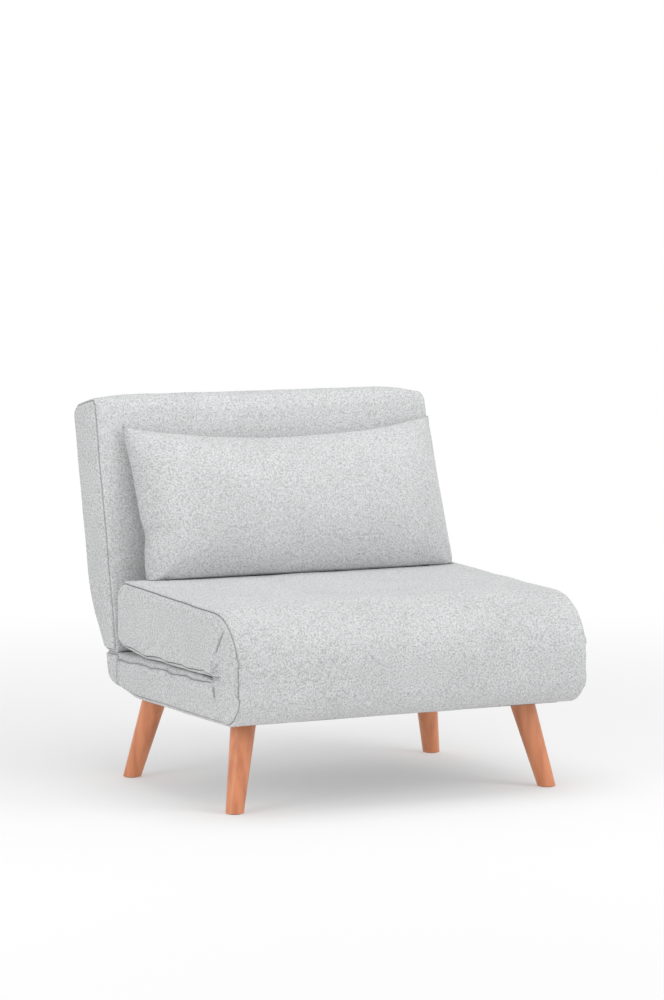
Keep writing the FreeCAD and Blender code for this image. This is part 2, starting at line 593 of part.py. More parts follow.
def build_hinges():
    """Front hinges of flat arms on riveted pins, and the ratchet hinges that hold the back."""
    eye = ("Sizes.hinge_y", "Sizes.hinge_z")
    hole = "(Sizes.hinge_pin + Sizes.turn_fit)"
    across = "0.95 * Sizes.hinge_eye"
    near = (HINGE_X, f"({HINGE_X} + Sizes.arm_thick)")
    outline = [
        (FRAME_FRONT, FRAME_Z),
        (FRAME_FRONT, f"{FRAME_Z} + Sizes.tube"),
        (f"Sizes.hinge_y + {across}", "Sizes.hinge_z"),
        (f"Sizes.hinge_y - {across}", "Sizes.hinge_z"),
    ]
    keep(both_sides(arm(outline, eye, "Sizes.hinge_eye", hole, near)), "base_hinge_arms")

    far = (f"{near[1]} + Sizes.side_gap", f"{near[1]} + Sizes.side_gap + Sizes.arm_thick")
    outline = [
        (FRAME_FRONT, FOOT_FRAME_Z),
        (FRAME_FRONT, f"{FOOT_FRAME_Z} + Sizes.tube"),
        (f"Sizes.hinge_y - {across}", "Sizes.hinge_z"),
        (f"Sizes.hinge_y + {across}", "Sizes.hinge_z"),
    ]
    keep(both_sides(arm(outline, eye, "Sizes.hinge_eye", hole, far)), "foot_hinge_arms")
    held = (f"({near[0]} - Sizes.side_gap)", f"({far[1]} + Sizes.side_gap)")
    keep(both_sides(headed_pin("Sizes.hinge_pin", held, eye)), "front_hinge_pins")

    eye = ("Sizes.base_rear_y", BASE_TOP)
    hole = "(Sizes.ratchet_pin + Sizes.turn_fit)"
    rail = f"({FRAME_HALF} - Sizes.tube)"
    fixed = (f"({rail} - Sizes.arm_thick)", rail)
    outline = [
        ("Sizes.base_rear_y - Sizes.arm_root", FRAME_Z),
        (f"{FRAME_REAR} - Sizes.tube", FRAME_Z),
        (f"{FRAME_REAR} - Sizes.tube", f"{FRAME_Z} + Sizes.tube"),
        ("Sizes.base_rear_y - Sizes.arm_heel", f"{FRAME_Z} + Sizes.tube"),
        ("Sizes.base_rear_y - Sizes.arm_heel", BASE_TOP),
        ("Sizes.base_rear_y - 0.95 * Sizes.ratchet_eye", BASE_TOP),
    ]
    keep(both_sides(arm(outline, eye, "Sizes.ratchet_eye", hole, fixed)), "base_ratchet_arms")

    rail = f"({BACK_FRAME_HALF} - Sizes.tube)"
    moving = (f"({rail} - Sizes.arm_thick)", rail)
    deep = "(Sizes.back_foam + Sizes.tube)"
    outline = [
        ("-0.6 * Sizes.ratchet_eye", "0.75 * Sizes.ratchet_eye"),
        ("0.75 * Sizes.ratchet_eye", "-0.6 * Sizes.ratchet_eye"),
        ("Sizes.back_foam", "Sizes.back_frame_low"),
        ("Sizes.back_foam", "Sizes.back_frame_low + Sizes.tube"),
        (deep, "Sizes.back_frame_low + Sizes.tube"),
        (deep, "Sizes.back_frame_low + Sizes.arm_reach"),
        ("Sizes.back_foam", "Sizes.back_frame_low + Sizes.arm_reach"),
    ]
    arms = both_sides(arm(outline, ("0", "0"), "Sizes.ratchet_eye", hole, moving))
    keep(in_back(arms), "back_ratchet_arms")

    cap = (f"({moving[0]} - Sizes.cap_thick)", moving[0])
    disc = rod("Sizes.ratchet_cap", cap, "0", "0")
    disc = cut(disc, rod(hole, (f"{cap[0]} - 1", f"{cap[1]} + 1"), "0", "0"))
    keep(in_back(both_sides(disc)), "ratchet_caps")
    held = (f"({cap[0]} - Sizes.side_gap)", f"({fixed[1]} + Sizes.side_gap)")
    keep(both_sides(headed_pin("Sizes.ratchet_pin", held, eye)), "ratchet_pins")


def build_foot():
    """The foot section: frame, slats, two foams and a cover with a recess for its leg at the end."""
    length = (FRAME_FRONT, "Sizes.foot_frame_end")
    sides = (FOOT_FRAME_Z, f"({FOOT_FRAME_Z} + Sizes.tube)")
    keep(tube_frame(length, sides, FRAME_HALF), "foot_frame")

    rail_x = f"({FRAME_HALF} - Sizes.tube)"
    slat_y = f"({FRAME_FRONT} + Sizes.tube + Sizes.slat_edge)"
    slat_z = f"({FOOT_FRAME_Z} + Sizes.slat_thick + Sizes.slat_bow)"
    turned = FreeCAD.Rotation(FreeCAD.Vector(0, 1, 0), 180)
    for piece, label in (
        (slat_row(f"({rail_x} - Sizes.cap_wall - Sizes.slat_play)", "Sizes.foot_slats"), "foot_slats"),
        (slat_caps(rail_x, "Sizes.foot_slats"), "foot_slat_caps"),
    ):
        piece.Placement.Rotation = turned
        keep(place(piece, slat_y, slat_z), label)

    half, deep = RECESS_HALF, RECESS_Y
    room_x, room_y = (f"-{half} - {SKIN}", f"{half} + {SKIN}"), (f"{deep} - {SKIN}", FAR)
    lower = section(foot_outline, SKIN)
    hinge_room = side_boxes(HINGE_NOTCH, (f"-{FAR}", f"{FRAME_FRONT} + {SKIN}"), ALL_Z)
    above = box(ALL_X, ALL_Y, (f"{FOOT_FRAME_Z} - Sizes.soft_gap", FAR))
    foam = cut(cut(cut(cut(lower, above), front_face(SKIN)), box(room_x, room_y, ALL_Z)), hinge_room)
    keep(foam, "foot_bed_foam")
    lug_x = leg_lug_x()
    lug_room = (f"{lug_x[0]} - 1", f"{lug_x[1]} + 1")
    lug_slot = side_boxes(lug_room, ("Sizes.foot_frame_end - 1", FAR), ALL_Z)
    upper = section(foot_outline, SKIN)
    below = box(ALL_X, ALL_Y, (f"-{FAR}", f"{FOOT_FRAME_Z} + Sizes.tube + Sizes.soft_gap"))
    foam = cut(cut(cut(cut(upper, below), front_face(SKIN)), box(room_x, room_y, ALL_Z)), lug_slot)
    keep(foam, "foot_seat_foam")

    recess = box((f"-{half}", half), (deep, FAR), ALL_Z)
    outer = cut(cut(section(foot_outline), front_face()), recess)
    wide = f"({RECESS_HALF} + Sizes.fabric)"
    recess = box((f"-{wide}", wide), (f"{deep} - Sizes.fabric", FAR), ALL_Z)
    inner = section(foot_outline, "Sizes.fabric")
    inner = cut(cut(inner, front_face("Sizes.fabric")), recess)
    eye = "2 * Sizes.ratchet_eye"
    by_hinge = (f"-{FAR}", f"Sizes.hinge_y + {eye}"), (f"-{FAR}", f"Sizes.hinge_z + {eye}")
    hinge_slot = side_boxes(HINGE_NOTCH, *by_hinge)
    lug_slot = side_boxes(lug_room, (f"{deep} - {SKIN}", f"{deep} + 1"), (f"{FOOT_FRAME_Z} - 1", FAR))
    keep(cut(cut(cut(outer, inner), hinge_slot), lug_slot), "foot_cover")


def leg_lug_x():
    """The two X planes of a lug that carries a bent leg, just outside the tube."""
    inner = f"({LEG_REACH} + Sizes.leg_bar + Sizes.side_gap)"
    return inner, f"({inner} + Sizes.arm_thick)"


def build_foot_leg():
    """The bent leg that carries the foot section's end, folded into its recess."""
    pivot = (FOOT_LEG_Y, FOOT_LEG_Z)
    length = f"(2 * Sizes.hinge_z - {FOOT_LEG_Z})"
    across = "0.95 * Sizes.lug_eye"
    outline = [
        ("Sizes.foot_frame_end", FOOT_FRAME_Z),
        (f"{FOOT_LEG_Y} + {across}", FOOT_LEG_Z),
        (f"{FOOT_LEG_Y} - {across}", FOOT_LEG_Z),
        ("Sizes.foot_frame_end", f"{FOOT_FRAME_Z} + Sizes.tube"),
    ]
    hole = "(Sizes.axle + Sizes.turn_fit)"
    keep(both_sides(arm(outline, pivot, "Sizes.lug_eye", hole, leg_lug_x())), "foot_leg_lugs")
    keep(place(bent_leg(length), *pivot), "foot_leg_tube")
    keep(place(leg_axle(), *pivot), "foot_leg_axle")
    keep(place(leg_sleeves(length), *pivot), "foot_leg_sleeves")


def build_back():
    """The backrest: frame, slats, two foams and a cover, all made upright and then leant."""
    length = ("Sizes.back_frame_low", "(Sizes.back_length - Sizes.back_frame_top)")
    sides = ("Sizes.back_foam", "(Sizes.back_foam + Sizes.tube)")
    frame = tube_frame(length, sides, BACK_FRAME_HALF, ["Sizes.back_cross"], upright=True)
    keep(in_back(frame), "back_frame")

    rail_x = f"({BACK_FRAME_HALF} - Sizes.tube)"
    slat_half = f"({rail_x} - Sizes.cap_wall - Sizes.slat_play)"
    slat_s = "(Sizes.back_frame_low + Sizes.arm_reach + Sizes.slat_edge)"
    slat_n = "(Sizes.back_foam + Sizes.slat_thick + Sizes.slat_bow)"
    for piece, label in (
        (slat_row(slat_half, "Sizes.back_slats", "Sizes.back_pitch"), "back_slats"),
        (slat_caps(rail_x, "Sizes.back_slats", "Sizes.back_pitch"), "back_slat_caps"),
    ):
        keep(in_back(piece, slat_n, slat_s, "90"), label)

    arm_top = "Sizes.back_frame_low + Sizes.arm_reach + Sizes.room"
    arm_room = side_boxes(RATCHET_NOTCH, ALL_Y, (f"-{FAR}", arm_top))
    front = section(back_outline, SKIN)
    behind = box(ALL_X, ("Sizes.back_foam - Sizes.soft_gap", FAR), ALL_Z)
    keep(in_back(cut(cut(front, behind), arm_room)), "back_front_foam")
    lug_x = leg_lug_x()
    lug_room = (f"{lug_x[0]} - 1", f"{lug_x[1]} + 1")
    lug_run = ("Sizes.back_cross - Sizes.room", "Sizes.back_cross + Sizes.tube + Sizes.room")
    lug_slots = [side_boxes(lug_room, ("Sizes.back_foam + Sizes.tube", FAR), lug_run) for _ in range(2)]
    rear = section(back_outline, SKIN)
    ahead = box(ALL_X, (f"-{FAR}", "Sizes.back_foam + Sizes.tube + Sizes.soft_gap"), ALL_Z)
    keep(in_back(cut(cut(rear, ahead), lug_slots[0])), "back_rear_foam")

    outer = section(back_outline)
    inner = section(back_outline, "Sizes.fabric")
    eye = "(Sizes.ratchet_eye + Sizes.room)"
    slot = side_boxes(RATCHET_NOTCH, (f"-{FAR}", f"2 * {eye}"), (f"-{FAR}", f"2 * {eye}"))
    keep(in_back(cut(cut(cut(outer, inner), slot), lug_slots[1])), "back_cover")


def build_head_leg():
    """The bent leg under the head end, folded against the back's rear face."""
    out = "(Sizes.back_thick + Sizes.head_leg_out)"
    length = f"({BASE_TOP} - {out})"
    across = "0.95 * Sizes.lug_eye"
    face = "(Sizes.back_foam + Sizes.tube)"
    outline = [
        (face, "Sizes.back_cross"),
        (out, f"{HEAD_LEG_S} - {across}"),
        (out, f"{HEAD_LEG_S} + {across}"),
        (face, "Sizes.back_cross + Sizes.tube"),
    ]
    hole = "(Sizes.axle + Sizes.turn_fit)"
    lugs = arm(outline, (out, HEAD_LEG_S), "Sizes.lug_eye", hole, leg_lug_x())
    keep(in_back(both_sides(lugs)), "head_leg_lugs")
    for piece, label in (
        (bent_leg(length), "head_leg_tube"),
        (leg_axle(), "head_leg_axle"),
        (leg_sleeves(length), "head_leg_sleeves"),
    ):
        keep(in_back(piece, out, HEAD_LEG_S), label)


def build_soft_joints():
    """The wadded wrap over the front fold and the gusset behind the base, which give as the bed opens."""
    outline = [
        ("Sizes.front_y", "Sizes.base_bottom_z", "Sizes.base_front_round"),
        ("Sizes.foot_end_y", "Sizes.base_bottom_z"),
        ("Sizes.foot_end_y", "Sizes.seat_rear_z"),
        ("Sizes.front_y", "Sizes.seat_front_z", "Sizes.foot_front_round"),
    ]
    nose = slab(outline, full_width())
    skin = common(nose, box(ALL_X, (f"-{FAR}", "Sizes.hinge_y - Sizes.soft_gap"), ALL_Z))
    pocket = side_boxes(
        HINGE_NOTCH,
        ("Sizes.hinge_y - Sizes.hinge_eye - 2 * Sizes.soft_gap", FAR),
        ("Sizes.hinge_z - 3 * Sizes.hinge_eye", "Sizes.hinge_z + 3 * Sizes.hinge_eye"),
    )
    keep(cut(skin, pocket), "front_wrap")

    rear = "Sizes.base_rear_y"
    front = f"{rear} + Sizes.soft_gap"
    top = f"{BASE_TOP} - Sizes.soft_gap"
    outline = [
        (front, top),
        (f"{rear} + Sizes.back_low_thick", top),
        (f"{rear} + Sizes.gusset_reach", "Sizes.base_rear_z + Sizes.fold_gap", "Sizes.gusset_round"),
        (front, "Sizes.base_rear_z"),
    ]
    wedge = slab(outline, full_width())
    slot = side_boxes(
        RATCHET_NOTCH,
        (f"-{FAR}", "Sizes.base_rear_y + 2 * Sizes.ratchet_eye"),
        (f"{BASE_TOP} - 2 * Sizes.ratchet_eye", FAR),
    )
    keep(cut(wedge, slot), "rear_gusset")


def crowned(body, role, ends, bulges, run, flat="0", full=1):
    """A pad whose section bulges to both sides between two narrow seams.

    ends are the half length and the half width of its seams, and bulges its depth to each side. flat is
    the straight middle part of each side, and full the part of a bulge that is left half way to the seam.
    """
    sketch = body.newObject("Sketcher::SketchObject", "crown")
    attach(sketch, body, role)
    half, edge = value(ends[0]), value(ends[1])
    level = value(flat) / 2
    lines, arcs = [], []
    for side, bulge in zip((-1, 1), bulges):
        depth = side * value(bulge)
        seam = side * edge
        if level:
            part = depth * full
            middle = (half + level) / 2
            arcs.append(((-half, seam), (-middle, part), (-level, depth)))
            arcs.append(((level, depth), (middle, part), (half, seam)))
            lines.append(((-level, depth), (level, depth)))
        else:
            arcs.append(((-half, seam), (0, depth), (half, seam)))
    lines.append(((-half, -edge), (-half, edge)))
    lines.append(((half, -edge), (half, edge)))
    upright = role == "YZ_Plane"
    for points in lines + arcs:
        ordered = [FreeCAD.Vector(b, a, 0) if upright else FreeCAD.Vector(a, b, 0) for a, b in points]
        sketch.addGeometry(Part.LineSegment(*ordered) if len(ordered) == 2 else Part.Arc(*ordered), False)
    pad = body.newObject("PartDesign::Pad", "pad")
    pad.Profile = sketch
    pad.SideType = "Symmetric"
    return bind(pad, Length=run)


def pillow_body(inset):
    """A pillow crowned both ways: what two bulging pads across each other have in common."""
    long, tall = f"({PILLOW_HALF} - {inset})", f"(Sizes.pillow_tall / 2 - {inset})"
    bulges = (f"Sizes.pillow_front - {inset}", f"Sizes.pillow_rear - {inset}")
    edge = f"Sizes.pillow_edge - {inset} / 2"
    pads = []
    for role, half, run, flat in (
        ("YZ_Plane", tall, f"2 * {long}", "0"),
        ("XY_Plane", long, f"2 * {tall}", "Sizes.pillow_flat"),
    ):
        body = doc.addObject("PartDesign::Body", "pillow_pad")
        crowned(body, role, (half, edge), bulges, run, flat, value("Sizes.pillow_full"))
        pads.append(body)
    return common(*pads)


def build_pillow():
    """The loose pillow, which stands on its lower seam and leans on the back."""
    for piece, label in (
        (cut(pillow_body("0"), pillow_body("Sizes.fabric")), "pillow_cover"),
        (group(pillow_body(SKIN)), "pillow_filling"),
    ):
        piece.Placement.Rotation = FreeCAD.Rotation(FreeCAD.Vector(1, 0, 0), 1)
        bind(
            piece,
            Placement__Rotation__Angle="-Sizes.pillow_lean",
            Placement__Base__x="Sizes.pillow_x",
            Placement__Base__y="Sizes.pillow_foot_y + Sizes.pillow_tall / 2 * sin(Sizes.pillow_lean)",
            Placement__Base__z="Sizes.pillow_foot_z + Sizes.pillow_tall / 2 * cos(Sizes.pillow_lean)",
        )
        keep(piece, label)


build_base()
build_legs()
build_hinges()
build_foot()
build_foot_leg()
build_back()
build_head_leg()
build_soft_joints()
build_pillow()
doc.recompute()

for piece in doc.Objects:
    if {"Invalid", "Error"} & set(piece.State):
        raise RuntimeError(f"{piece.Label} failed: {piece.State}")
for piece in kept:
    if piece.Shape.isNull() or not piece.Shape.isValid() or not piece.Shape.Solids:
        raise RuntimeError(f"{piece.Label} has no valid solid")

os.makedirs("parts", exist_ok=True)
for piece in kept:
    piece.Shape.exportStep(f"parts/{piece.Label}.step")
    bounds = piece.Shape.BoundBox
    print(
        f"{piece.Label:20s} {len(piece.Shape.Solids):2d} solids {piece.Shape.Volume / 1000:9.1f} cm3"
        f"  x {bounds.XMin:7.1f} {bounds.XMax:7.1f}  y {bounds.YMin:7.1f} {bounds.YMax:7.1f}"
        f"  z {bounds.ZMin:7.1f} {bounds.ZMax:7.1f}"
    )
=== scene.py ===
import json
import math

import bmesh
import bpy
import numpy as np
from mathutils import Matrix, Vector, noise


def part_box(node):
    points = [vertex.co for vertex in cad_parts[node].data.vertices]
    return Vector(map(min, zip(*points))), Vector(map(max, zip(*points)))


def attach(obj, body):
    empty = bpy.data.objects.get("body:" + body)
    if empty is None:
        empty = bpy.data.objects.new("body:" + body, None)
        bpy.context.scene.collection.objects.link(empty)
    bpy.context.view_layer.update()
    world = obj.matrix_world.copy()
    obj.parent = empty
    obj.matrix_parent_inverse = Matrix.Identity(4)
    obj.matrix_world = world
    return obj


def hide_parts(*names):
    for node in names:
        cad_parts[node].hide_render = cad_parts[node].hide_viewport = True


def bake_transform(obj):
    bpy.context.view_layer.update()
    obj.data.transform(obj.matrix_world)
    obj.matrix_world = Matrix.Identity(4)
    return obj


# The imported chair, and its box before anything is dressed.
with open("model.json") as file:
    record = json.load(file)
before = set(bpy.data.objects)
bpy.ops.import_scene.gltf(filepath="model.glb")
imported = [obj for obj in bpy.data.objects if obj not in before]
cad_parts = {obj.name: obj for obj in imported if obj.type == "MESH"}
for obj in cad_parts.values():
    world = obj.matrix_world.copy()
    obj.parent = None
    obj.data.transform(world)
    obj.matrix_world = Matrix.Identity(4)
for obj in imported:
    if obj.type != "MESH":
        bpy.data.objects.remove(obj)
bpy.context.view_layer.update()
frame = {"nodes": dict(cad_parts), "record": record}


# Steel work under the fabric: tube frames, ratchet hinges, fold hinges, axles, plates and bolts.
# Tube is bent and powder coated black, plates and fixings are zinc plated, and the ratchets run in
# moulded plastic caps. Their solids are exact already, so they only get their finishes here.
def shader(name):
    """A new material with its Principled shader, ready for nodes."""
    material = bpy.data.materials.new(name)
    material.use_nodes = True
    tree = material.node_tree
    return material, tree, tree.nodes["Principled BSDF"]


def node_group(name, inputs, outputs):
    """A shader node group with named sockets: its tree, and the nodes where they enter and leave."""
    tree = bpy.data.node_groups.new(name, "ShaderNodeTree")
    for way, sockets in (("INPUT", inputs), ("OUTPUT", outputs)):
        for socket, kind in sockets.items():
            tree.interface.new_socket(name=socket, in_out=way, socket_type="NodeSocket" + kind)
    return tree, tree.nodes.new("NodeGroupInput").outputs, tree.nodes.new("NodeGroupOutput").inputs


def grouped(tree, group, values):
    """A node group placed in a material with the material's own values."""
    node = tree.nodes.new("ShaderNodeGroup")
    node.node_tree = group
    for name, value in values.items():
        node.inputs[name].default_value = (*value, 1) if isinstance(value, tuple) else value
    return node.outputs


def noise_node(tree, scale, detail=2, stretch=(1, 1, 1), rough=0.5):
    """Noise in object coordinates, stretched along the axes."""
    coordinates = tree.nodes.new("ShaderNodeTexCoord")
    mapping = tree.nodes.new("ShaderNodeMapping")
    mapping.inputs["Scale"].default_value = stretch
    texture = tree.nodes.new("ShaderNodeTexNoise")
    texture.inputs["Scale"].default_value = scale
    texture.inputs["Detail"].default_value = detail
    texture.inputs["Roughness"].default_value = rough
    tree.links.new(coordinates.outputs["Object"], mapping.inputs["Vector"])
    tree.links.new(mapping.outputs["Vector"], texture.inputs["Vector"])
    return texture.outputs["Fac"]


def mixed(tree, fac, first, second, mode="MIX"):
    """Two colours mixed by a factor, any of them a socket or a value."""
    node = tree.nodes.new("ShaderNodeMix")
    node.data_type = "RGBA"
    node.blend_type = mode
    for name, source in (("Factor", fac), ("A", first), ("B", second)):
        kind = "VALUE" if name == "Factor" else "RGBA"
        socket = next(i for i in node.inputs if i.name == name and i.type == kind)
        if isinstance(source, bpy.types.NodeSocket):
            tree.links.new(source, socket)
        else:
            socket.default_value = source
    return next(o for o in node.outputs if o.type == "RGBA")


def between(tree, fac, low, high, first=0.0, second=1.0):
    """A value that runs from first to second while a noise goes from low to high."""
    node = tree.nodes.new("ShaderNodeMapRange")
    node.inputs["From Min"].default_value, node.inputs["From Max"].default_value = low, high
    for name, source in (("To Min", first), ("To Max", second)):
        if isinstance(source, bpy.types.NodeSocket):
            tree.links.new(source, node.inputs[name])
        else:
            node.inputs[name].default_value = source
    tree.links.new(fac, node.inputs["Value"])
    return node.outputs["Result"]


def bump(tree, height, strength, distance, principled):
    """Relief from a height socket."""
    node = tree.nodes.new("ShaderNodeBump")
    node.inputs["Strength"].default_value = strength
    node.inputs["Distance"].default_value = distance
    tree.links.new(height, node.inputs["Height"])
    tree.links.new(node.outputs["Normal"], principled.inputs["Normal"])


def dress(slot, material):
    """Gives the parts of one material slot their finish."""
    for part in frame["record"]["subparts"]:
        if part["material_slot"] != slot:
            continue
        mesh = frame["nodes"][part["node"]].data
        for index in range(max(1, len(mesh.materials))):
            if mesh.materials:
                mesh.materials[index] = material
            else:
                mesh.materials.append(material)


worn_finish, given, result = node_group(
    "worn_finish", {"Clean": "Color", "Handled": "Color", "Glossy": "Float", "Dull": "Float"},
    {"Color": "Color", "Roughness": "Float", "Height": "Float"},
)
patches = between(worn_finish, noise_node(worn_finish, 30, 3), 0.3, 0.7)
gloss = between(worn_finish, noise_node(worn_finish, 90), 0.3, 0.7, given["Glossy"], given["Dull"])
worn_finish.links.new(mixed(worn_finish, patches, given["Handled"], given["Clean"]), result["Color"])
worn_finish.links.new(gloss, result["Roughness"])
worn_finish.links.new(noise_node(worn_finish, 700), result["Height"])


def hard_finish(name, colour, metallic, rough):
    """Metal, paint, plastic or rubber with fine unevenness in its colour and gloss."""
    material, tree, principled = shader(name)
    principled.inputs["Metallic"].default_value = metallic
    finish = grouped(tree, worn_finish, {
        "Clean": colour, "Handled": tuple(c * 0.9 for c in colour), "Glossy": rough * 0.85, "Dull": rough * 1.15,
    })
    tree.links.new(finish["Color"], principled.inputs["Base Color"])
    tree.links.new(finish["Roughness"], principled.inputs["Roughness"])
    bump(tree, finish["Height"], 0.05, 0.0003, principled)
    return material


dress("frame_steel", hard_finish("black_powder_coat", (0.035, 0.035, 0.037), 0.0, 0.45))
dress("zinc_steel", hard_finish("zinc_plate", (0.62, 0.62, 0.60), 1.0, 0.38))
dress("cap_plastic", hard_finish("moulded_plastic", (0.03, 0.03, 0.03), 0.0, 0.5))
dress("rubber", hard_finish("rubber_black", (0.02, 0.02, 0.02), 0.0, 0.8))


# Slats: sprung birch plywood across each frame, held in plastic end caps.
# They are cut and bent with the grain along them, and are sealed with a thin clear coat.
wood_grain, given, result = node_group(
    "wood_grain", {"Light": "Color", "Dark": "Color", "Stretch": "Vector", "Scale": "Float"},
    {"Color": "Color", "Height": "Float"},
)
grain = noise_node(wood_grain, 60, 5, rough=0.6)
mapping = grain.node.inputs["Vector"].links[0].from_node
wood_grain.links.new(given["Scale"], grain.node.inputs["Scale"])
wood_grain.links.new(given["Stretch"], mapping.inputs["Scale"])
streaks = mixed(wood_grain, between(wood_grain, grain, 0.3, 0.55), given["Dark"], given["Light"])
bright = mixed(wood_grain, 1.0, streaks, (1.08, 1.08, 1.08, 1), "MULTIPLY")
wood_grain.links.new(mixed(wood_grain, between(wood_grain, grain, 0.55, 0.75), streaks, bright), result["Color"])
wood_grain.links.new(grain, result["Height"])


def wood_finish(name, light, dark, stretch):
    """Grain streaks stretched along one axis under a thin coat."""
    material, tree, principled = shader(name)
    wood = grouped(tree, wood_grain, {"Light": light, "Dark": dark, "Scale": 60.0})
    wood["Color"].node.inputs["Stretch"].default_value = stretch
    tree.links.new(wood["Color"], principled.inputs["Base Color"])
    principled.inputs["Roughness"].default_value = 0.42
    principled.inputs["Coat Weight"].default_value = 0.25
    principled.inputs["Coat Roughness"].default_value = 0.3
    bump(tree, wood["Height"], 0.08, 0.0006, principled)
    return material


dress("slat_wood", wood_finish("birch_ply", (0.72, 0.52, 0.31), (0.58, 0.38, 0.20), (0.05, 1, 1)))


# Foam blocks on the slats, and the black dust cloth stapled under the base.
# Both are hidden in the chair: the foam stands inside the covers, and the cloth closes the underside.
melange_weave, given, result = node_group(
    "melange_weave", {"Light": "Color", "Dark": "Color", "Bright": "Color", "Painted Groove Shade": "Color"},
    {"Color": "Color", "Height": "Float"},
)
speckle = noise_node(melange_weave, 330, 3, (1, 0.62, 1), 0.7)
threads = mixed(melange_weave, between(melange_weave, speckle, 0.36, 0.5), given["Dark"], given["Light"])
threads = mixed(melange_weave, between(melange_weave, speckle, 0.5, 0.64), threads, given["Bright"])
cloud = between(melange_weave, noise_node(melange_weave, 9), 0.3, 0.7)
cloud = mixed(melange_weave, cloud, (0.94, 0.94, 0.94, 1), (1, 1, 1, 1))
threads = mixed(melange_weave, 1.0, threads, cloud, "MULTIPLY")
# Painted shade: the seam attribute mixes the dark groove colour into the weave where the seams, dart bottoms and
# pinch lie in shade.
seam = melange_weave.nodes.new("ShaderNodeAttribute")
seam.attribute_name = "seam"
melange_weave.links.new(mixed(melange_weave, seam.outputs["Fac"], threads, given["Painted Groove Shade"]), result["Color"])
melange_weave.links.new(noise_node(melange_weave, 520, rough=0.6), result["Height"])


def fabric_finish(name, light, dark):
    """Melange weave: two greys mixed by fine noise, with the threads in relief, and painted shade in the seams.
    """
    material, tree, principled = shader(name)
    weave = grouped(tree, melange_weave, {
        "Light": light, "Dark": dark, "Bright": tuple(min(1, c * 1.2) for c in light),
        # Painted shade for the seam grooves: the dark grey at about a third of its brightness.
        "Painted Groove Shade": tuple(c * 0.35 for c in dark),
    })
    tree.links.new(weave["Color"], principled.inputs["Base Color"])
    principled.inputs["Roughness"].default_value = 0.95
    principled.inputs["Sheen Weight"].default_value = 0.15
    principled.inputs["Specular IOR Level"].default_value = 0.15
    bump(tree, weave["Height"], 0.45, 0.0012, principled)
    return material


dress("foam", fabric_finish("foam_block", (0.80, 0.74, 0.55), (0.70, 0.63, 0.45)))
dress("dust_cloth", fabric_finish("dust_cloth_black", (0.03, 0.03, 0.032), (0.015, 0.015, 0.016)))


# Base section of the seat: foam on its slats in a sewn cover with a side panel let in at each end.
# The cover is a light grey melange weave, coarse enough to show as speckle. Its top rolls over the
# side seams in a wavy band, and the front is gathered to the end of the slit below the foot section.
cover_fabric = fabric_finish("melange_fabric", (0.62, 0.625, 0.63), (0.41, 0.415, 0.42))
dress("cover_fabric", cover_fabric)
half_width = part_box("foot_cover")[1].x
hinge_z = 0.257
# Behind the front skin both sections stop here.
nose_face = -0.3751
# The pinch at the front end of the slit, in y and z.
slit_end = (-0.2765, 0.266)
seam_radius = 0.004
lip_reach = 0.012
outline_step = 0.0085
# The fabric's quarter turn over a side seam, in degrees.
roll_angles = (0, 22.5, 45, 67.5, 90)
# Rings of a side panel: how far in towards its middle, and how high over its seam, in crowns.
panel_rings = (
    (0.012, -0.37), (0.04, 0.4), (0.085, 0.8), (0.16, 0.97), (0.3, 1), (0.52, 1.05), (0.78, 1.1), (1, 1.1),
)


def make_mesh(name, verts, faces, material):
    """A new smooth object at the origin from points and faces."""
    mesh = bpy.data.meshes.new(name)
    mesh.from_pydata([tuple(v) for v in verts], [], faces)
    mesh.update()
    obj = bpy.data.objects.new(name, mesh)
    bpy.context.scene.collection.objects.link(obj)
    mesh.materials.append(material)
    for polygon in mesh.polygons:
        polygon.use_smooth = True
    return obj


def rounded(points, step):
    """A closed outline of (y, z, radius) corners, rounded and resampled to even steps."""
    corners = [np.array(p[:2], float) for p in points]
    radii = [p[2] if len(p) > 2 else 0 for p in points]
    count = len(corners)
    path = []
    for i in range(count):
        before, at, after = corners[i - 1], corners[i], corners[(i + 1) % count]
        if radii[i] == 0:
            path.append(at)
            continue
        inward, outward = before - at, after - at
        inward /= np.linalg.norm(inward)
        outward /= np.linalg.norm(outward)
        half = math.acos(np.clip(inward @ outward, -1, 1)) / 2
        reach = radii[i] / math.tan(half)
        centre = at + (inward + outward) / np.linalg.norm(inward + outward) * radii[i] / math.sin(half)
        start, end = at + inward * reach - centre, at + outward * reach - centre
        turn = math.atan2(start[0] * end[1] - start[1] * end[0], start @ end)
        for k in range(13):
            angle = turn * k / 12
            c, s = math.cos(angle), math.sin(angle)
            path.append(centre + np.array([c * start[0] - s * start[1], s * start[0] + c * start[1]]))
    path.append(path[0])
    path = np.array(path)
    lengths = np.concatenate([[0], np.cumsum(np.linalg.norm(np.diff(path, axis=0), axis=1))])
    steps = max(8, round(lengths[-1] / step))
    at = np.linspace(0, lengths[-1], steps, endpoint=False)
    return np.stack([np.interp(at, lengths, path[:, 0]), np.interp(at, lengths, path[:, 1])], 1)


def normals_2d(outline):
    """Inward normals of a closed outline that runs anticlockwise."""
    tangent = np.roll(outline, -1, 0) - np.roll(outline, 1, 0)
    tangent /= np.linalg.norm(tangent, axis=1)[:, None] + 1e-12
    return np.stack([-tangent[:, 1], tangent[:, 0]], 1)


def nearest_on(spine, point):
    """The closest point of a polyline."""
    best, found = None, 1e9
    for a, b in zip(spine[:-1], spine[1:]):
        t = np.clip((point - a) @ (b - a) / ((b - a) @ (b - a)), 0, 1)
        spot = a + t * (b - a)
        away = np.linalg.norm(point - spot)
        if away < found:
            best, found = spot, away
    return best


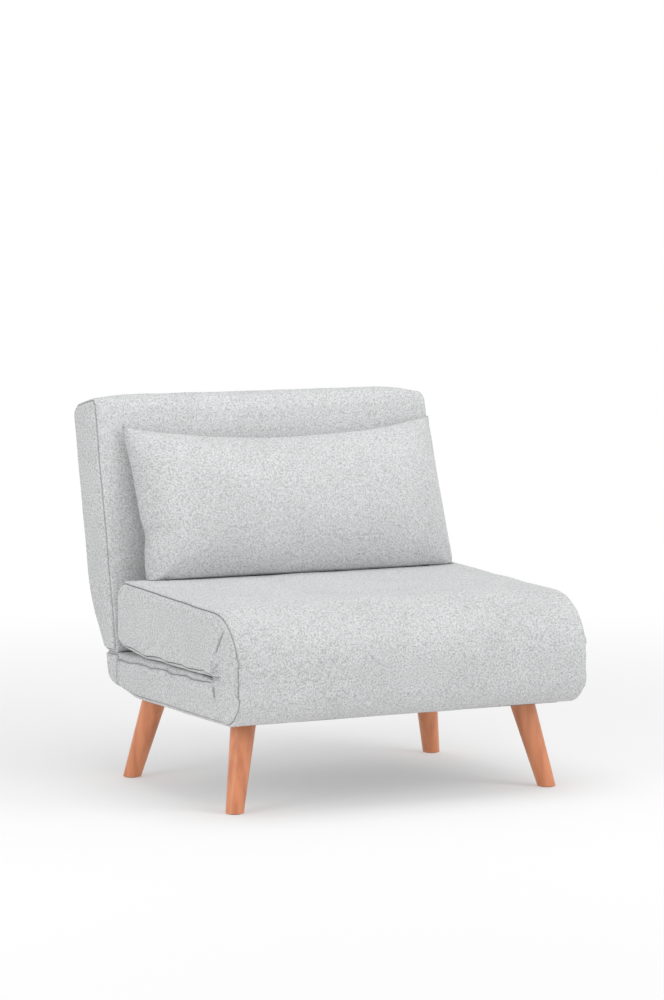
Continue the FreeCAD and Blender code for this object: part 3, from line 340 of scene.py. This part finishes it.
def seat_roll(p):
    """The rolled band is wavy beside the slit and narrows to its end, wide below and narrow elsewhere."""
    y, z = p
    if y < -0.27 and 0.2 < z < 0.3:
        return 0.0004
    if -0.30 < y < 0.19 and 0.24 < z < 0.275:
        wave = 0.0015 * math.sin(62 * y + (1.0 if z < hinge_z else 2.6)) + 0.0006 * math.sin(131 * y)
        ahead = np.clip((y + 0.272) / 0.045, 0, 1)
        narrow = 0.6 + 0.4 * np.clip((y + 0.27) / 0.4, 0, 1)
        wide = 0.0135 * narrow if z < hinge_z else 0.006
        return float(max(0.0006, (wide + wave) * math.sqrt(ahead)))
    if z < 0.2 and y > -0.33:
        return 0.007
    return seam_radius


def nose_flush(p):
    """The side panels of the two sections run on into each other, and into the skin, at the front."""
    y, z = p
    if abs(z - hinge_z) < 0.004:
        return float(np.clip((-0.284 - y) / 0.012, 0, 1))
    return float(y < -0.3745 and 0.238 < z < 0.282)


def upholster(
    name, outline, spine, roll, half, step=0.01, crown=0.006, place=lambda x, p: (x, p[0], p[1]), extra=(),
    flush=lambda p: 0, lip=lambda p: 0,
):
    """A padded section: an outline across the width, rolled over its side seams onto crowned side panels.

    At a point of the outline, roll gives how far the fabric rolls over the side, lip how far its edge
    swells out, and flush is 1 where the panel runs on into the next piece without a seam. Each vertex
    keeps its depth from the seam, above 0 on the shell and below 0 on the panels, and how much painted
    shade darkens the seam's groove there.
    """
    inward = normals_2d(outline)
    rolls = np.array([roll(p) for p in outline])
    plain = np.array([flush(p) for p in outline])
    lips = np.array([lip(p) for p in outline])
    inner = half - max(rolls)
    spans = round(2 * inner / step)
    across = sorted([-inner + 2 * inner * k / spans for k in range(1, spans)] + list(extra))
    angles = [math.radians(angle) for angle in roll_angles]
    stations = [(-1, a) for a in reversed(angles)] + [(x, None) for x in across] + [(1, a) for a in angles]
    verts, rings, depth, painted_groove_shade = [], [], [], []
    for spot, a in stations:
        ring = []
        for i, p in enumerate(outline):
            if a is None:
                x, inset = spot, 0
            else:
                proud = plain[i] * crown * (a / math.pi * 2) ** 2
                x = spot * (half - rolls[i] + rolls[i] * math.sin(a) + proud)
                inset = rolls[i] * (1 - math.cos(a)) - 0.0007 * plain[i] * math.sin(a)
            away = half - abs(x)
            swell = lips[i] * math.exp(-(max(0, away - lip_reach) / lip_reach) ** 2)
            ring.append(len(verts))
            verts.append((x, p + inward[i] * (inset - swell)))
            depth.append(away)
            # Painted shade: the ring on the seam gets a light darkening in the colour.
            painted_groove_shade.append((1 - plain[i]) * 0.3 if a == angles[-1] else 0)
        rings.append(ring)
    faces = []
    n = len(outline)
    for a, b in zip(rings[:-1], rings[1:]):
        for i in range(n):
            j = (i + 1) % n
            faces.append((a[i], a[j], b[j], b[i]))
    for side, ring in ((-1, rings[0]), (1, rings[-1])):
        last = ring
        seam = [verts[v][1] for v in ring]
        centres = [nearest_on(spine, p) for p in seam]
        for share, out in panel_rings:
            new = []
            for i in range(n):
                p = seam[i] + (centres[i] - seam[i]) * share
                bulge = crown * (out + (1 - out) * plain[i] if out < 1 else out)
                new.append(len(verts))
                verts.append((side * (half + bulge), p))
                depth.append(-share)
                # Painted shade: the groove ring just under the seam is darkened most.
                painted_groove_shade.append(0.85 * (1 - plain[i]) if out < 0 else 0)
            for i in range(n):
                j = (i + 1) % n
                quad = (last[i], last[j], new[j], new[i])
                faces.append(quad if side > 0 else quad[::-1])
            last = new
    points = [place(x, p) for x, p in verts]
    obj = make_mesh(name, points, faces, cover_fabric)
    work = bmesh.new()
    work.from_mesh(obj.data)
    depth_layer = work.verts.layers.float.new("depth")
    painted_shade_layer = work.verts.layers.float.new("seam")
    for vert in work.verts:
        vert[depth_layer] = depth[vert.index]
        vert[painted_shade_layer] = painted_groove_shade[vert.index]
    bmesh.ops.remove_doubles(work, verts=work.verts, dist=0.0009)
    bmesh.ops.recalc_face_normals(work, faces=work.faces)
    work.to_mesh(obj.data)
    work.free()
    return obj


def puff(obj, hold, pressure, cap, frames=12, fade=1):
    """Swells the fabric with a short cloth simulation, held at its seams, with how far it moves capped."""
    mesh = obj.data
    before = np.array([v.co for v in mesh.vertices])
    group = obj.vertex_groups.new(name="held")
    for index, weight in enumerate(hold):
        if weight > 0:
            group.add([index], float(weight), "REPLACE")
    cloth = obj.modifiers.new("swell", "CLOTH")
    settings = cloth.settings
    settings.quality = 5
    settings.mass = 0.3
    settings.tension_stiffness = settings.compression_stiffness = 15
    settings.shear_stiffness = 6
    settings.bending_stiffness = 0.4
    settings.use_pressure = True
    settings.uniform_pressure_force = pressure
    settings.vertex_group_mass = "held"
    settings.effector_weights.gravity = 0
    cloth.collision_settings.use_collision = False
    scene = bpy.context.scene
    cloth.point_cache.frame_start, cloth.point_cache.frame_end = 1, frames
    for number in range(1, frames + 1):
        scene.frame_set(number)
    graph = bpy.context.evaluated_depsgraph_get()
    after = np.array([v.co for v in obj.evaluated_get(graph).data.vertices])
    scene.frame_set(1)
    obj.modifiers.remove(cloth)
    obj.vertex_groups.remove(group)
    move = after - before
    length = np.linalg.norm(move, axis=1)
    limit = cap * np.tanh(length / cap)
    move *= (fade * limit / np.maximum(length, 1e-9))[:, None]
    mesh.vertices.foreach_set("co", (before + move).ravel().astype(np.float32))
    mesh.update()


def depths(obj):
    """How far each vertex lies from its side seam."""
    values = np.zeros(len(obj.data.vertices), np.float32)
    obj.data.attributes["depth"].data.foreach_get("value", values)
    return values


def near_fold(spots):
    """How far the swelling of a section applies: not at the fold, and in full away from it."""
    away = np.hypot(np.maximum(spots[:, 1] + 0.27, 0), np.maximum(np.abs(spots[:, 2] - hinge_z) - 0.07, 0))
    share = np.clip(away / 0.06, 0, 1)
    return share ** 2 * (3 - 2 * share)


def seam_hold(obj):
    """Pinning for a simulation: tight at the side seams and lightly held on the panels."""
    depth = depths(obj)
    hold = np.where(depth < 0, 0.3, 0.0)
    hold[np.abs(depth) < 0.006] = 1.0
    return hold


def slit_lip(p):
    """How far the stuffed edges above and below the slit swell towards each other."""
    y, z = p
    if not 0.245 < z < 0.276:
        return 0
    return float(0.0028 * np.clip((y + 0.262) / 0.05, 0, 1) * np.clip((0.15 - y) / 0.05, 0, 1))


# The darts and pulled creases round the slit's end: from, to and how deep.
darts = [
    ((-0.333, 0.364), (-0.286, 0.303), 0.0056), ((-0.2845, 0.289), (-0.2795, 0.272), 0.0065),
    ((-0.2775, 0.249), (-0.284, 0.220), 0.0055), ((-0.281, 0.272), (-0.312, 0.293), 0.0034),
    ((-0.281, 0.262), (-0.320, 0.266), 0.0030), ((-0.281, 0.254), (-0.312, 0.238), 0.0028),
]


def dart_depth(points):
    """How deep each point lies in the sewn darts and pulled creases round the end of the slit."""
    deep = np.zeros(len(points))
    spots = points[:, 1:]
    for start, end, size in darts:
        start, end = np.array(start), np.array(end)
        along = np.clip((spots - start) @ (end - start) / ((end - start) @ (end - start)), 0, 1)
        away = np.linalg.norm(spots - start - along[:, None] * (end - start), axis=1)
        fade = np.clip(along / 0.35, 0, 1) * np.clip((1 - along) / 0.15, 0.3, 1)
        deep = np.maximum(deep, size * fade * np.exp(-(away / 0.0031) ** 2))
    return deep


def pleats(points):
    """Gathers on both side panels, drawn to the pinch at the front end of the slit."""
    side = np.sign(points[:, 0])
    panel = np.clip((np.abs(points[:, 0]) - (half_width - 0.002)) / 0.004, 0, 1)
    dy, dz = points[:, 1] - slit_end[0], points[:, 2] - slit_end[1]
    away = np.hypot(dy, dz)
    angle = np.arctan2(dz, -dy)
    reach = np.exp(-(away / 0.042) ** 2) * np.clip(away / 0.012, 0, 1)
    ahead = np.clip((0.012 - dy) / 0.03, 0, 1)
    lift = 0.0055 * np.sin(8.0 * angle + 0.9 * np.sin(3 * angle) + 30 * away) * reach * ahead
    lift += 0.0045 * np.exp(-((dy + 0.014) / 0.010) ** 2 - ((dz - 0.004) / 0.012) ** 2)
    lift -= 0.007 * np.exp(-(away / 0.006) ** 2)
    points[:, 0] += side * panel * (lift - dart_depth(points))
    return points


def paint_dart_shade(obj):
    """Paints shade into the bottoms of the darts and the pinch, as in a seam's groove."""
    points = np.array([v.co for v in obj.data.vertices])
    seam = np.zeros(len(points), np.float32)
    obj.data.attributes["seam"].data.foreach_get("value", seam)
    outside = np.abs(points[:, 0]) > half_width - 0.006
    pinch = np.exp(-(np.hypot(points[:, 1] - slit_end[0], points[:, 2] - slit_end[1]) / 0.0055) ** 2)
    # Painted shade: deeper darts and the pinch get more of the groove colour.
    dark = np.clip(np.maximum(dart_depth(points) / 0.0042 - 0.4, 0.7 * pinch), 0, 0.75)
    seam = np.maximum(seam, dark * outside)
    obj.data.attributes["seam"].data.foreach_set("value", seam.astype(np.float32))


# The fabric's unevenness is drawn from one fixed seed, so it is the same on each run.
noise.seed_set(5)


def wander(points, amount, size, seed):
    """The slight unevenness of stuffed fabric, the same on each run."""
    for index, point in enumerate(points):
        moved = noise.noise_vector(Vector((point[0] / size + seed, point[1] / size, point[2] / size)))
        points[index] = point + amount * np.array(moved)
    return points


def uneven(points):
    """The unevenness that the sections of the seat and their front skin share."""
    return wander(points, 0.0012, 0.07, 3.1)


def reshape(obj, *changes):
    """Passes a mesh's points through functions that move them."""
    points = np.array([v.co for v in obj.data.vertices])
    for change in changes:
        points = change(points)
    obj.data.vertices.foreach_set("co", points.ravel().astype(np.float32))
    obj.data.update()


def refine(obj, near):
    """Splits the faces of a small region, for creases finer than the mesh."""
    work = bmesh.new()
    work.from_mesh(obj.data)
    edges = [edge for edge in work.edges if all(near(v.co) for v in edge.verts)]
    bmesh.ops.subdivide_edges(work, edges=edges, cuts=5, use_grid_fill=True)
    work.to_mesh(obj.data)
    work.free()


def by_pinch(co):
    """The part of the side panels that the gathers cross."""
    return abs(co.x) > half_width - 0.002 and abs(co.y + 0.295) < 0.075 and abs(co.z - 0.283) < 0.087


def finish_panels(obj):
    """Adds the gathers, painted shade in the darts and the fabric's unevenness to a section of the seat."""
    refine(obj, by_pinch)
    paint_dart_shade(obj)
    obj.data.set_sharp_from_angle(angle=math.radians(62))
    reshape(obj, pleats, uneven)


base_outline = rounded([
    (-0.385, 0.172, 0.060), (0.095, 0.172, 0.03), (0.1765, 0.1865, 0.006), (0.1765, 0.253, 0.006),
    (-0.264, 0.253, 0.004), (-0.276, 0.257, 0.004), (-0.385, 0.257),
], outline_step)
hidden = (base_outline[:, 1] > 0.236) & (base_outline[:, 0] < -0.3)
base_outline[hidden, 0] = np.maximum(base_outline[hidden, 0], nose_face)
base = upholster(
    "base_upholstery", base_outline, [np.array((-0.335, 0.213)), np.array((0.14, 0.218))], seat_roll, half_width,
    flush=nose_flush, lip=slit_lip,
)
hold = seam_hold(base)
spots = np.array([v.co for v in base.data.vertices])
hold[(spots[:, 2] < 0.178) | (spots[:, 1] < -0.36) | (spots[:, 1] > 0.17)] = 1.0
puff(base, hold, 1.2, 0.003, fade=near_fold(spots))
finish_panels(base)
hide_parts("base_cover", "base_foam")
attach(base, "base")


# Foot section: a foam block in the same cover, which lies folded on the base as the seat.
# Its rear end is drawn in between the corners, where its bent-tube leg folds away.
foot_outline = rounded([
    (-0.385, 0.257), (-0.276, 0.257, 0.004), (-0.264, 0.261, 0.004), (0.06, 0.261, 0.1),
    (0.172, 0.272, 0.020), (0.172, 0.402, 0.036), (-0.385, 0.383, 0.112),
], outline_step)
hidden = (foot_outline[:, 1] < 0.284) & (foot_outline[:, 0] < -0.3)
foot_outline[hidden, 0] = np.maximum(foot_outline[hidden, 0], nose_face)
recess_half, recess_y, end_y = 0.300, 0.124, 0.172
recess_edges = [side * (recess_half + gap) for side in (-1, 1) for gap in (-0.002, 0.002)]


def leg_recess(points):
    """Draws the foot section's end in between its corners, where its leg folds away."""
    start = 0.085
    inside = (np.abs(points[:, 0]) < recess_half) & (points[:, 1] > start)
    y = points[inside, 1]
    points[inside, 1] = start + (y - start) * (recess_y - start) / (end_y - start)
    return points


foot = upholster(
    "foot_upholstery", foot_outline, [np.array((-0.318, 0.322)), np.array((0.112, 0.333))], seat_roll, half_width,
    extra=recess_edges, flush=nose_flush, lip=slit_lip,
)
hold = seam_hold(foot)
spots = np.array([v.co for v in foot.data.vertices])
hold[(spots[:, 1] < -0.37) & (spots[:, 2] < 0.33)] = 1.0
hold[spots[:, 1] > 0.085] = 1.0
puff(foot, hold, 1.6, 0.005, fade=near_fold(spots))
reshape(foot, leg_recess)
finish_panels(foot)
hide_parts("foot_cover", "foot_seat_foam", "foot_bed_foam")
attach(foot, "foot")


# Front skin: the one piece of cover fabric that runs over the fold, from the base's front to that of
# the foot section. It is sewn to both.
nose_outline = rounded([(-0.385, 0.172, 0.060), (0.172, 0.172), (0.172, 0.402), (-0.385, 0.383, 0.112)], 0.002)
nose = nose_outline[(nose_outline[:, 0] < -0.355) & (nose_outline[:, 1] < 0.35)]
nose = nose[np.argsort(nose[:, 1])]
heights = [0.199, 0.2, *np.arange(0.208, 0.314, 0.0075), 0.3195, 0.3205]
proud = [min(0.0004, 0.0012 - 0.0016 * abs(z - 0.26) / 0.061) for z in heights]
band = [(np.interp(z, nose[:, 1], nose[:, 0]) - out, z) for z, out in zip(heights, proud)]
inner = half_width - seam_radius
across = [-half_width + seam_radius * (1 - math.sin(a)) for a in np.radians(roll_angles[:0:-1])]
across += list(np.linspace(-inner, inner, 76)) + [-x for x in reversed(across)]
verts = []
for x in across:
    rolled = max(0, abs(x) - inner) / seam_radius
    inset = seam_radius * (1 - math.sqrt(max(0, 1 - rolled ** 2)))
    for y, z in band:
        verts.append((x, y + inset, z))
rows = len(band)
faces = [
    (i * rows + j, (i + 1) * rows + j, (i + 1) * rows + j + 1, i * rows + j + 1)
    for i in range(len(across) - 1)
    for j in range(rows - 1)
]
# Painted shade in the skin's side seams: a light darkening on the seam column, and the most in the groove ring
# under it.
painted_groove_shade = [0.3 if x in (across[0], across[-1]) else 0 for x in across for _ in band]
for side in (-1, 1):
    column = 0 if side < 0 else len(across) - 1
    last = [column * rows + j for j in range(rows)]
    for back_by, out, dark in ((0.0052, -0.0022, 0.85), (0.0075, 0.0024, 0), (0.0099, 0.0048, 0)):
        new = []
        for y, z in band:
            new.append(len(verts))
            back = max(y + back_by, nose_face) if back_by > 0.009 else y + back_by
            verts.append((side * (half_width + out), back, z))
            painted_groove_shade.append(dark)
        for j in range(rows - 1):
            quad = (last[j], last[j + 1], new[j + 1], new[j])
            faces.append(quad if side < 0 else quad[::-1])
        last = new
front = make_mesh("front_skin", verts, faces, cover_fabric)
painted_shade_attribute = front.data.attributes.new("seam", "FLOAT", "POINT")
painted_shade_attribute.data.foreach_set("value", painted_groove_shade)
reshape(front, uneven)
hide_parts("front_wrap")
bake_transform(front)


# Backrest: one leaning section of foam and slats in the same cover, with seamed side panels.
# It hangs on the two ratchets at its foot, and its top corners are drawn down to their seams.
lean = math.radians(11.7)
pivot = Vector((0, 0.177, 0.253))


def from_back(x, p):
    """A point of the back's own upright frame, out from its face and up its lean, in the row frame."""
    out, up = p
    return (
        x,
        pivot.y + out * math.cos(lean) + up * math.sin(lean),
        pivot.z - out * math.sin(lean) + up * math.cos(lean),
    )


back_corners = [
    (0.0, 0.0005, 0.004), (0.054, 0.0115, 0.006), (0.110, 0.128, 0.25), (0.110, 0.520, 0.025),
    (0.0, 0.520, 0.015),
]
back_outline = rounded(back_corners, outline_step)
back_spine = [np.array(p) for p in ((0.028, 0.05), (0.052, 0.13), (0.055, 0.465))]
back = upholster("back_upholstery", back_outline, back_spine, lambda p: seam_radius, half_width, place=from_back)
puff(back, seam_hold(back), 1.6, 0.005)


def back_crown(points):
    """The top corners of the back are drawn down to their seams."""
    side = np.clip((np.abs(points[:, 0]) - 0.27) / (half_width - 0.27), 0, 1)
    up = np.clip((points[:, 2] - 0.60) / 0.15, 0, 1)
    points[:, 2] -= np.where(points[:, 0] > 0, 0.013, 0.005) * side ** 2 * up ** 2
    return points


reshape(back, back_crown, lambda points: wander(points, 0.0012, 0.07, 1.3))
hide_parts("back_cover", "back_front_foam", "back_rear_foam")
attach(back, "back")


# Rear gusset: a soft strip of cover fabric that closes the gap between the base and the back's foot.
# It is sewn to both.
gusset_outline = rounded([
    (0.170, 0.1845, 0.003), (0.2165, 0.191, 0.034), (0.2305, 0.2528, 0.003), (0.170, 0.2528, 0.003),
], 0.0075)
gusset = upholster(
    "rear_gusset_soft", gusset_outline, [np.array((0.19, 0.22)), np.array((0.2, 0.225))],
    lambda p: seam_radius, half_width - 0.0012,
)
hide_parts("rear_gusset")
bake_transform(gusset)


# Lumbar pillow: two rectangles of the cover fabric sewn round the edge and stuffed with fibre.
# It lies loose, flat where it stands on the seat and leans on the back, with gathers at its corners.
pillow_at = Vector((0.018, 0.193, 0.5489))
pillow_lean = math.radians(19.95)
pillow_half = Vector((0.350, 0, 0.161))


def pillow_edges(u, v):
    """Where a point of the flat pattern lies once sewn: the long sides sag and the short ones pull in."""
    high = pillow_half.z - 0.035 * (1 - abs(u) ** 2.2)
    low = -pillow_half.z - 0.020 + 0.004 * (1 - u * u)
    left = -pillow_half.x + 0.009 * (1 - v * v) + 0.006 * math.exp(-((v + 0.33) / 0.16) ** 2)
    right = pillow_half.x - 0.008 * (1 - v * v)
    return left + (right - left) * (u + 1) / 2, low + (high - low) * (v + 1) / 2


def pillow_start(across=88, up=44, front=0.083, rear=0.034):
    """The pillow as sewn, with soft fronts: its points, faces, seam points and pattern places."""
    verts, faces, seam, spots = [], [], [], []
    index = {}
    for side, deep in ((-1, front), (1, rear)):
        for i in range(across + 1):
            for j in range(up + 1):
                u, v = 2 * i / across - 1, 2 * j / up - 1
                rim = i in (0, across) or j in (0, up)
                if rim and side > 0:
                    index[side, i, j] = index[-1, i, j]
                    continue
                if rim:
                    seam.append(len(verts))
                full = (1 - u ** 6) ** 0.6 * (1 - abs(v) ** 3) ** 0.6
                x, z = pillow_edges(u, v)
                index[side, i, j] = len(verts)
                verts.append((x, side * deep * full, z))
                spots.append((u, v, side))
    for side in (-1, 1):
        for i in range(across):
            for j in range(up):
                corners = ((i, j), (i + 1, j), (i + 1, j + 1), (i, j + 1))
                quad = [index[side, *corner] for corner in corners]
                faces.append(quad if side < 0 else quad[::-1])
    return verts, faces, seam, np.array(spots)


# Gathers at the pillow's corners: which corner, how high, how long and where the first fold lies.
corner_gathers = (
    (-1, -1, 0.0042, 0.075, 0.4), (1, -1, 0.0045, 0.080, 1.3),
    (-1, 1, 0.0024, 0.06, 2.0), (1, 1, 0.0024, 0.06, 0.9),
)


def pillow_creases(points):
    """Gathers run in from the corners, with one fold on the left edge."""
    u, v, side = spots.T
    lift = np.zeros(len(points))
    for corner_u, corner_v, size, reach, phase in corner_gathers:
        dx = (1 - u * corner_u) * pillow_half.x
        dz = (1 - v * corner_v) * pillow_half.z
        away = np.hypot(dx, dz)
        fold = np.sin(9 * np.arctan2(dz, dx) + phase + 18 * away)
        lift += size * fold * np.exp(-(away / reach) ** 2) * np.clip(away / 0.02, 0, 1)
    edge = np.exp(-(u + 1) * pillow_half.x / 0.03) * np.clip((u + 1) * pillow_half.x / 0.006, 0, 1)
    lift -= 0.006 * edge * np.exp(-((v + 0.33) * pillow_half.z / 0.007) ** 2)
    points[:, 1] += side * lift
    return points


def rest_on(points):
    """Flattens the pillow where it stands on the seat and leans on the back."""
    seat = 0.4035 + (points[:, 1] - 0.172) * 0.0341
    points[:, 2] = np.maximum(points[:, 2], seat)
    out_of_back = (points[:, 1] - pivot.y) * math.cos(lean) - (points[:, 2] - pivot.z) * math.sin(lean)
    sunk = np.maximum(out_of_back + 0.003, 0)
    points[:, 1] -= sunk * math.cos(lean)
    points[:, 2] += sunk * math.sin(lean)
    return points


verts, faces, sewn, spots = pillow_start()
pillow = make_mesh("lumbar_pillow", verts, faces, cover_fabric)
hold = np.zeros(len(verts))
hold[sewn] = 1.0
puff(pillow, hold, 3.0, 0.020, 14)
turn = np.array(Matrix.Rotation(-pillow_lean, 3, "X"))
reshape(
    pillow, pillow_creases, lambda points: points @ turn.T + np.array(pillow_at), rest_on,
    lambda points: wander(points, 0.0015, 0.09, 5.2),
)
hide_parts("pillow_cover", "pillow_filling")
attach(pillow, "pillow")


# Turned legs: tapered round hardwood, stained and satin lacquered, with the grain along them.
# Each is screwed by its hanger bolt into a plate under the base, and splays outwards.
dress("leg_wood", wood_finish("stained_wood", (0.74, 0.275, 0.125), (0.57, 0.19, 0.08), (1, 1, 0.06)))


# Studio floor: a pale matt sweep that takes the chair's shadow and runs out into white.
bpy.ops.mesh.primitive_plane_add(size=120, location=(0, 0, 0))
floor = bpy.context.object
floor.name = "studio_floor"
floor_material, tree, principled = shader("pale_floor")
principled.inputs["Base Color"].default_value = (0.93, 0.93, 0.93, 1)
principled.inputs["Roughness"].default_value = 0.9
coordinates = tree.nodes.new("ShaderNodeTexCoord")
distance = tree.nodes.new("ShaderNodeVectorMath")
distance.operation = "LENGTH"
tree.links.new(coordinates.outputs["Object"], distance.inputs[0])
far = tree.nodes.new("ShaderNodeMapRange")
far.interpolation_type = "SMOOTHSTEP"
far.inputs["From Min"].default_value, far.inputs["From Max"].default_value = 0.3, 3.0
far.inputs["To Min"].default_value = 0.35
tree.links.new(distance.outputs["Value"], far.inputs["Value"])
white = tree.nodes.new("ShaderNodeEmission")
blend = tree.nodes.new("ShaderNodeMixShader")
tree.links.new(far.outputs["Result"], blend.inputs["Fac"])
tree.links.new(principled.outputs["BSDF"], blend.inputs[1])
tree.links.new(white.outputs["Emission"], blend.inputs[2])
tree.links.new(blend.outputs["Shader"], tree.nodes["Material Output"].inputs["Surface"])
floor.data.materials.append(floor_material)


# Surround and lamps: a white surround as the camera, gloss and glass see it, with plain soft light.
# A large lamp stands at the front right, a smaller one at the left, and one hangs above.
world = bpy.data.worlds.new("studio")
bpy.context.scene.world = world
world.use_nodes = True
tree = world.node_tree
background = tree.nodes["Background"]
background.inputs["Color"].default_value = (1, 1, 1, 1)
background.inputs["Strength"].default_value = 0.55
seen = tree.nodes.new("ShaderNodeBackground")
seen.inputs["Color"].default_value = (1, 1, 1, 1)
path = tree.nodes.new("ShaderNodeLightPath")
looking = path.outputs["Is Camera Ray"]
for ray in ("Is Glossy Ray", "Is Transmission Ray"):
    either = tree.nodes.new("ShaderNodeMath")
    either.operation = "MAXIMUM"
    tree.links.new(looking, either.inputs[0])
    tree.links.new(path.outputs[ray], either.inputs[1])
    looking = either.outputs["Value"]
choice = tree.nodes.new("ShaderNodeMixShader")
tree.links.new(looking, choice.inputs["Fac"])
tree.links.new(background.outputs["Background"], choice.inputs[1])
tree.links.new(seen.outputs["Background"], choice.inputs[2])
tree.links.new(choice.outputs["Shader"], tree.nodes["World Output"].inputs["Surface"])


def area_light(name, at, size, energy):
    """A soft square lamp that faces the middle of the chair."""
    lamp = bpy.data.lights.new(name, "AREA")
    lamp.size = size
    lamp.energy = energy
    obj = bpy.data.objects.new(name, lamp)
    bpy.context.scene.collection.objects.link(obj)
    obj.location = at
    obj.rotation_euler = (Vector((0, 0, 0.4)) - Vector(at)).to_track_quat("-Z", "Y").to_euler()


area_light("key", (1.8, -2.6, 2.2), 1.8, 35)
area_light("left", (-2.7, -0.9, 1.5), 1.2, 18)
area_light("top", (0, -0.3, 3.0), 2.0, 26)


# Camera: at the photograph's height and angle, a little above the seat from the front left.
# A long lens keeps the chair's lines as nearly parallel as they are there.
bpy.context.scene.view_settings.view_transform = "Standard"
camera_data = bpy.data.cameras.new("camera")
camera_data.lens = 134.4
camera_data.sensor_width = 36
camera = bpy.data.objects.new("camera", camera_data)
bpy.context.scene.collection.objects.link(camera)
azimuth, elevation, away = math.radians(-27.08), math.radians(5.24), 7.488
target = Vector((0.037, 0.043, 0.553))
behind = Vector((
    math.sin(azimuth) * math.cos(elevation), -math.cos(azimuth) * math.cos(elevation), math.sin(elevation)
))
camera.location = target + behind * away
camera.rotation_euler = behind.to_track_quat("Z", "Y").to_euler()
bpy.context.scene.camera = camera
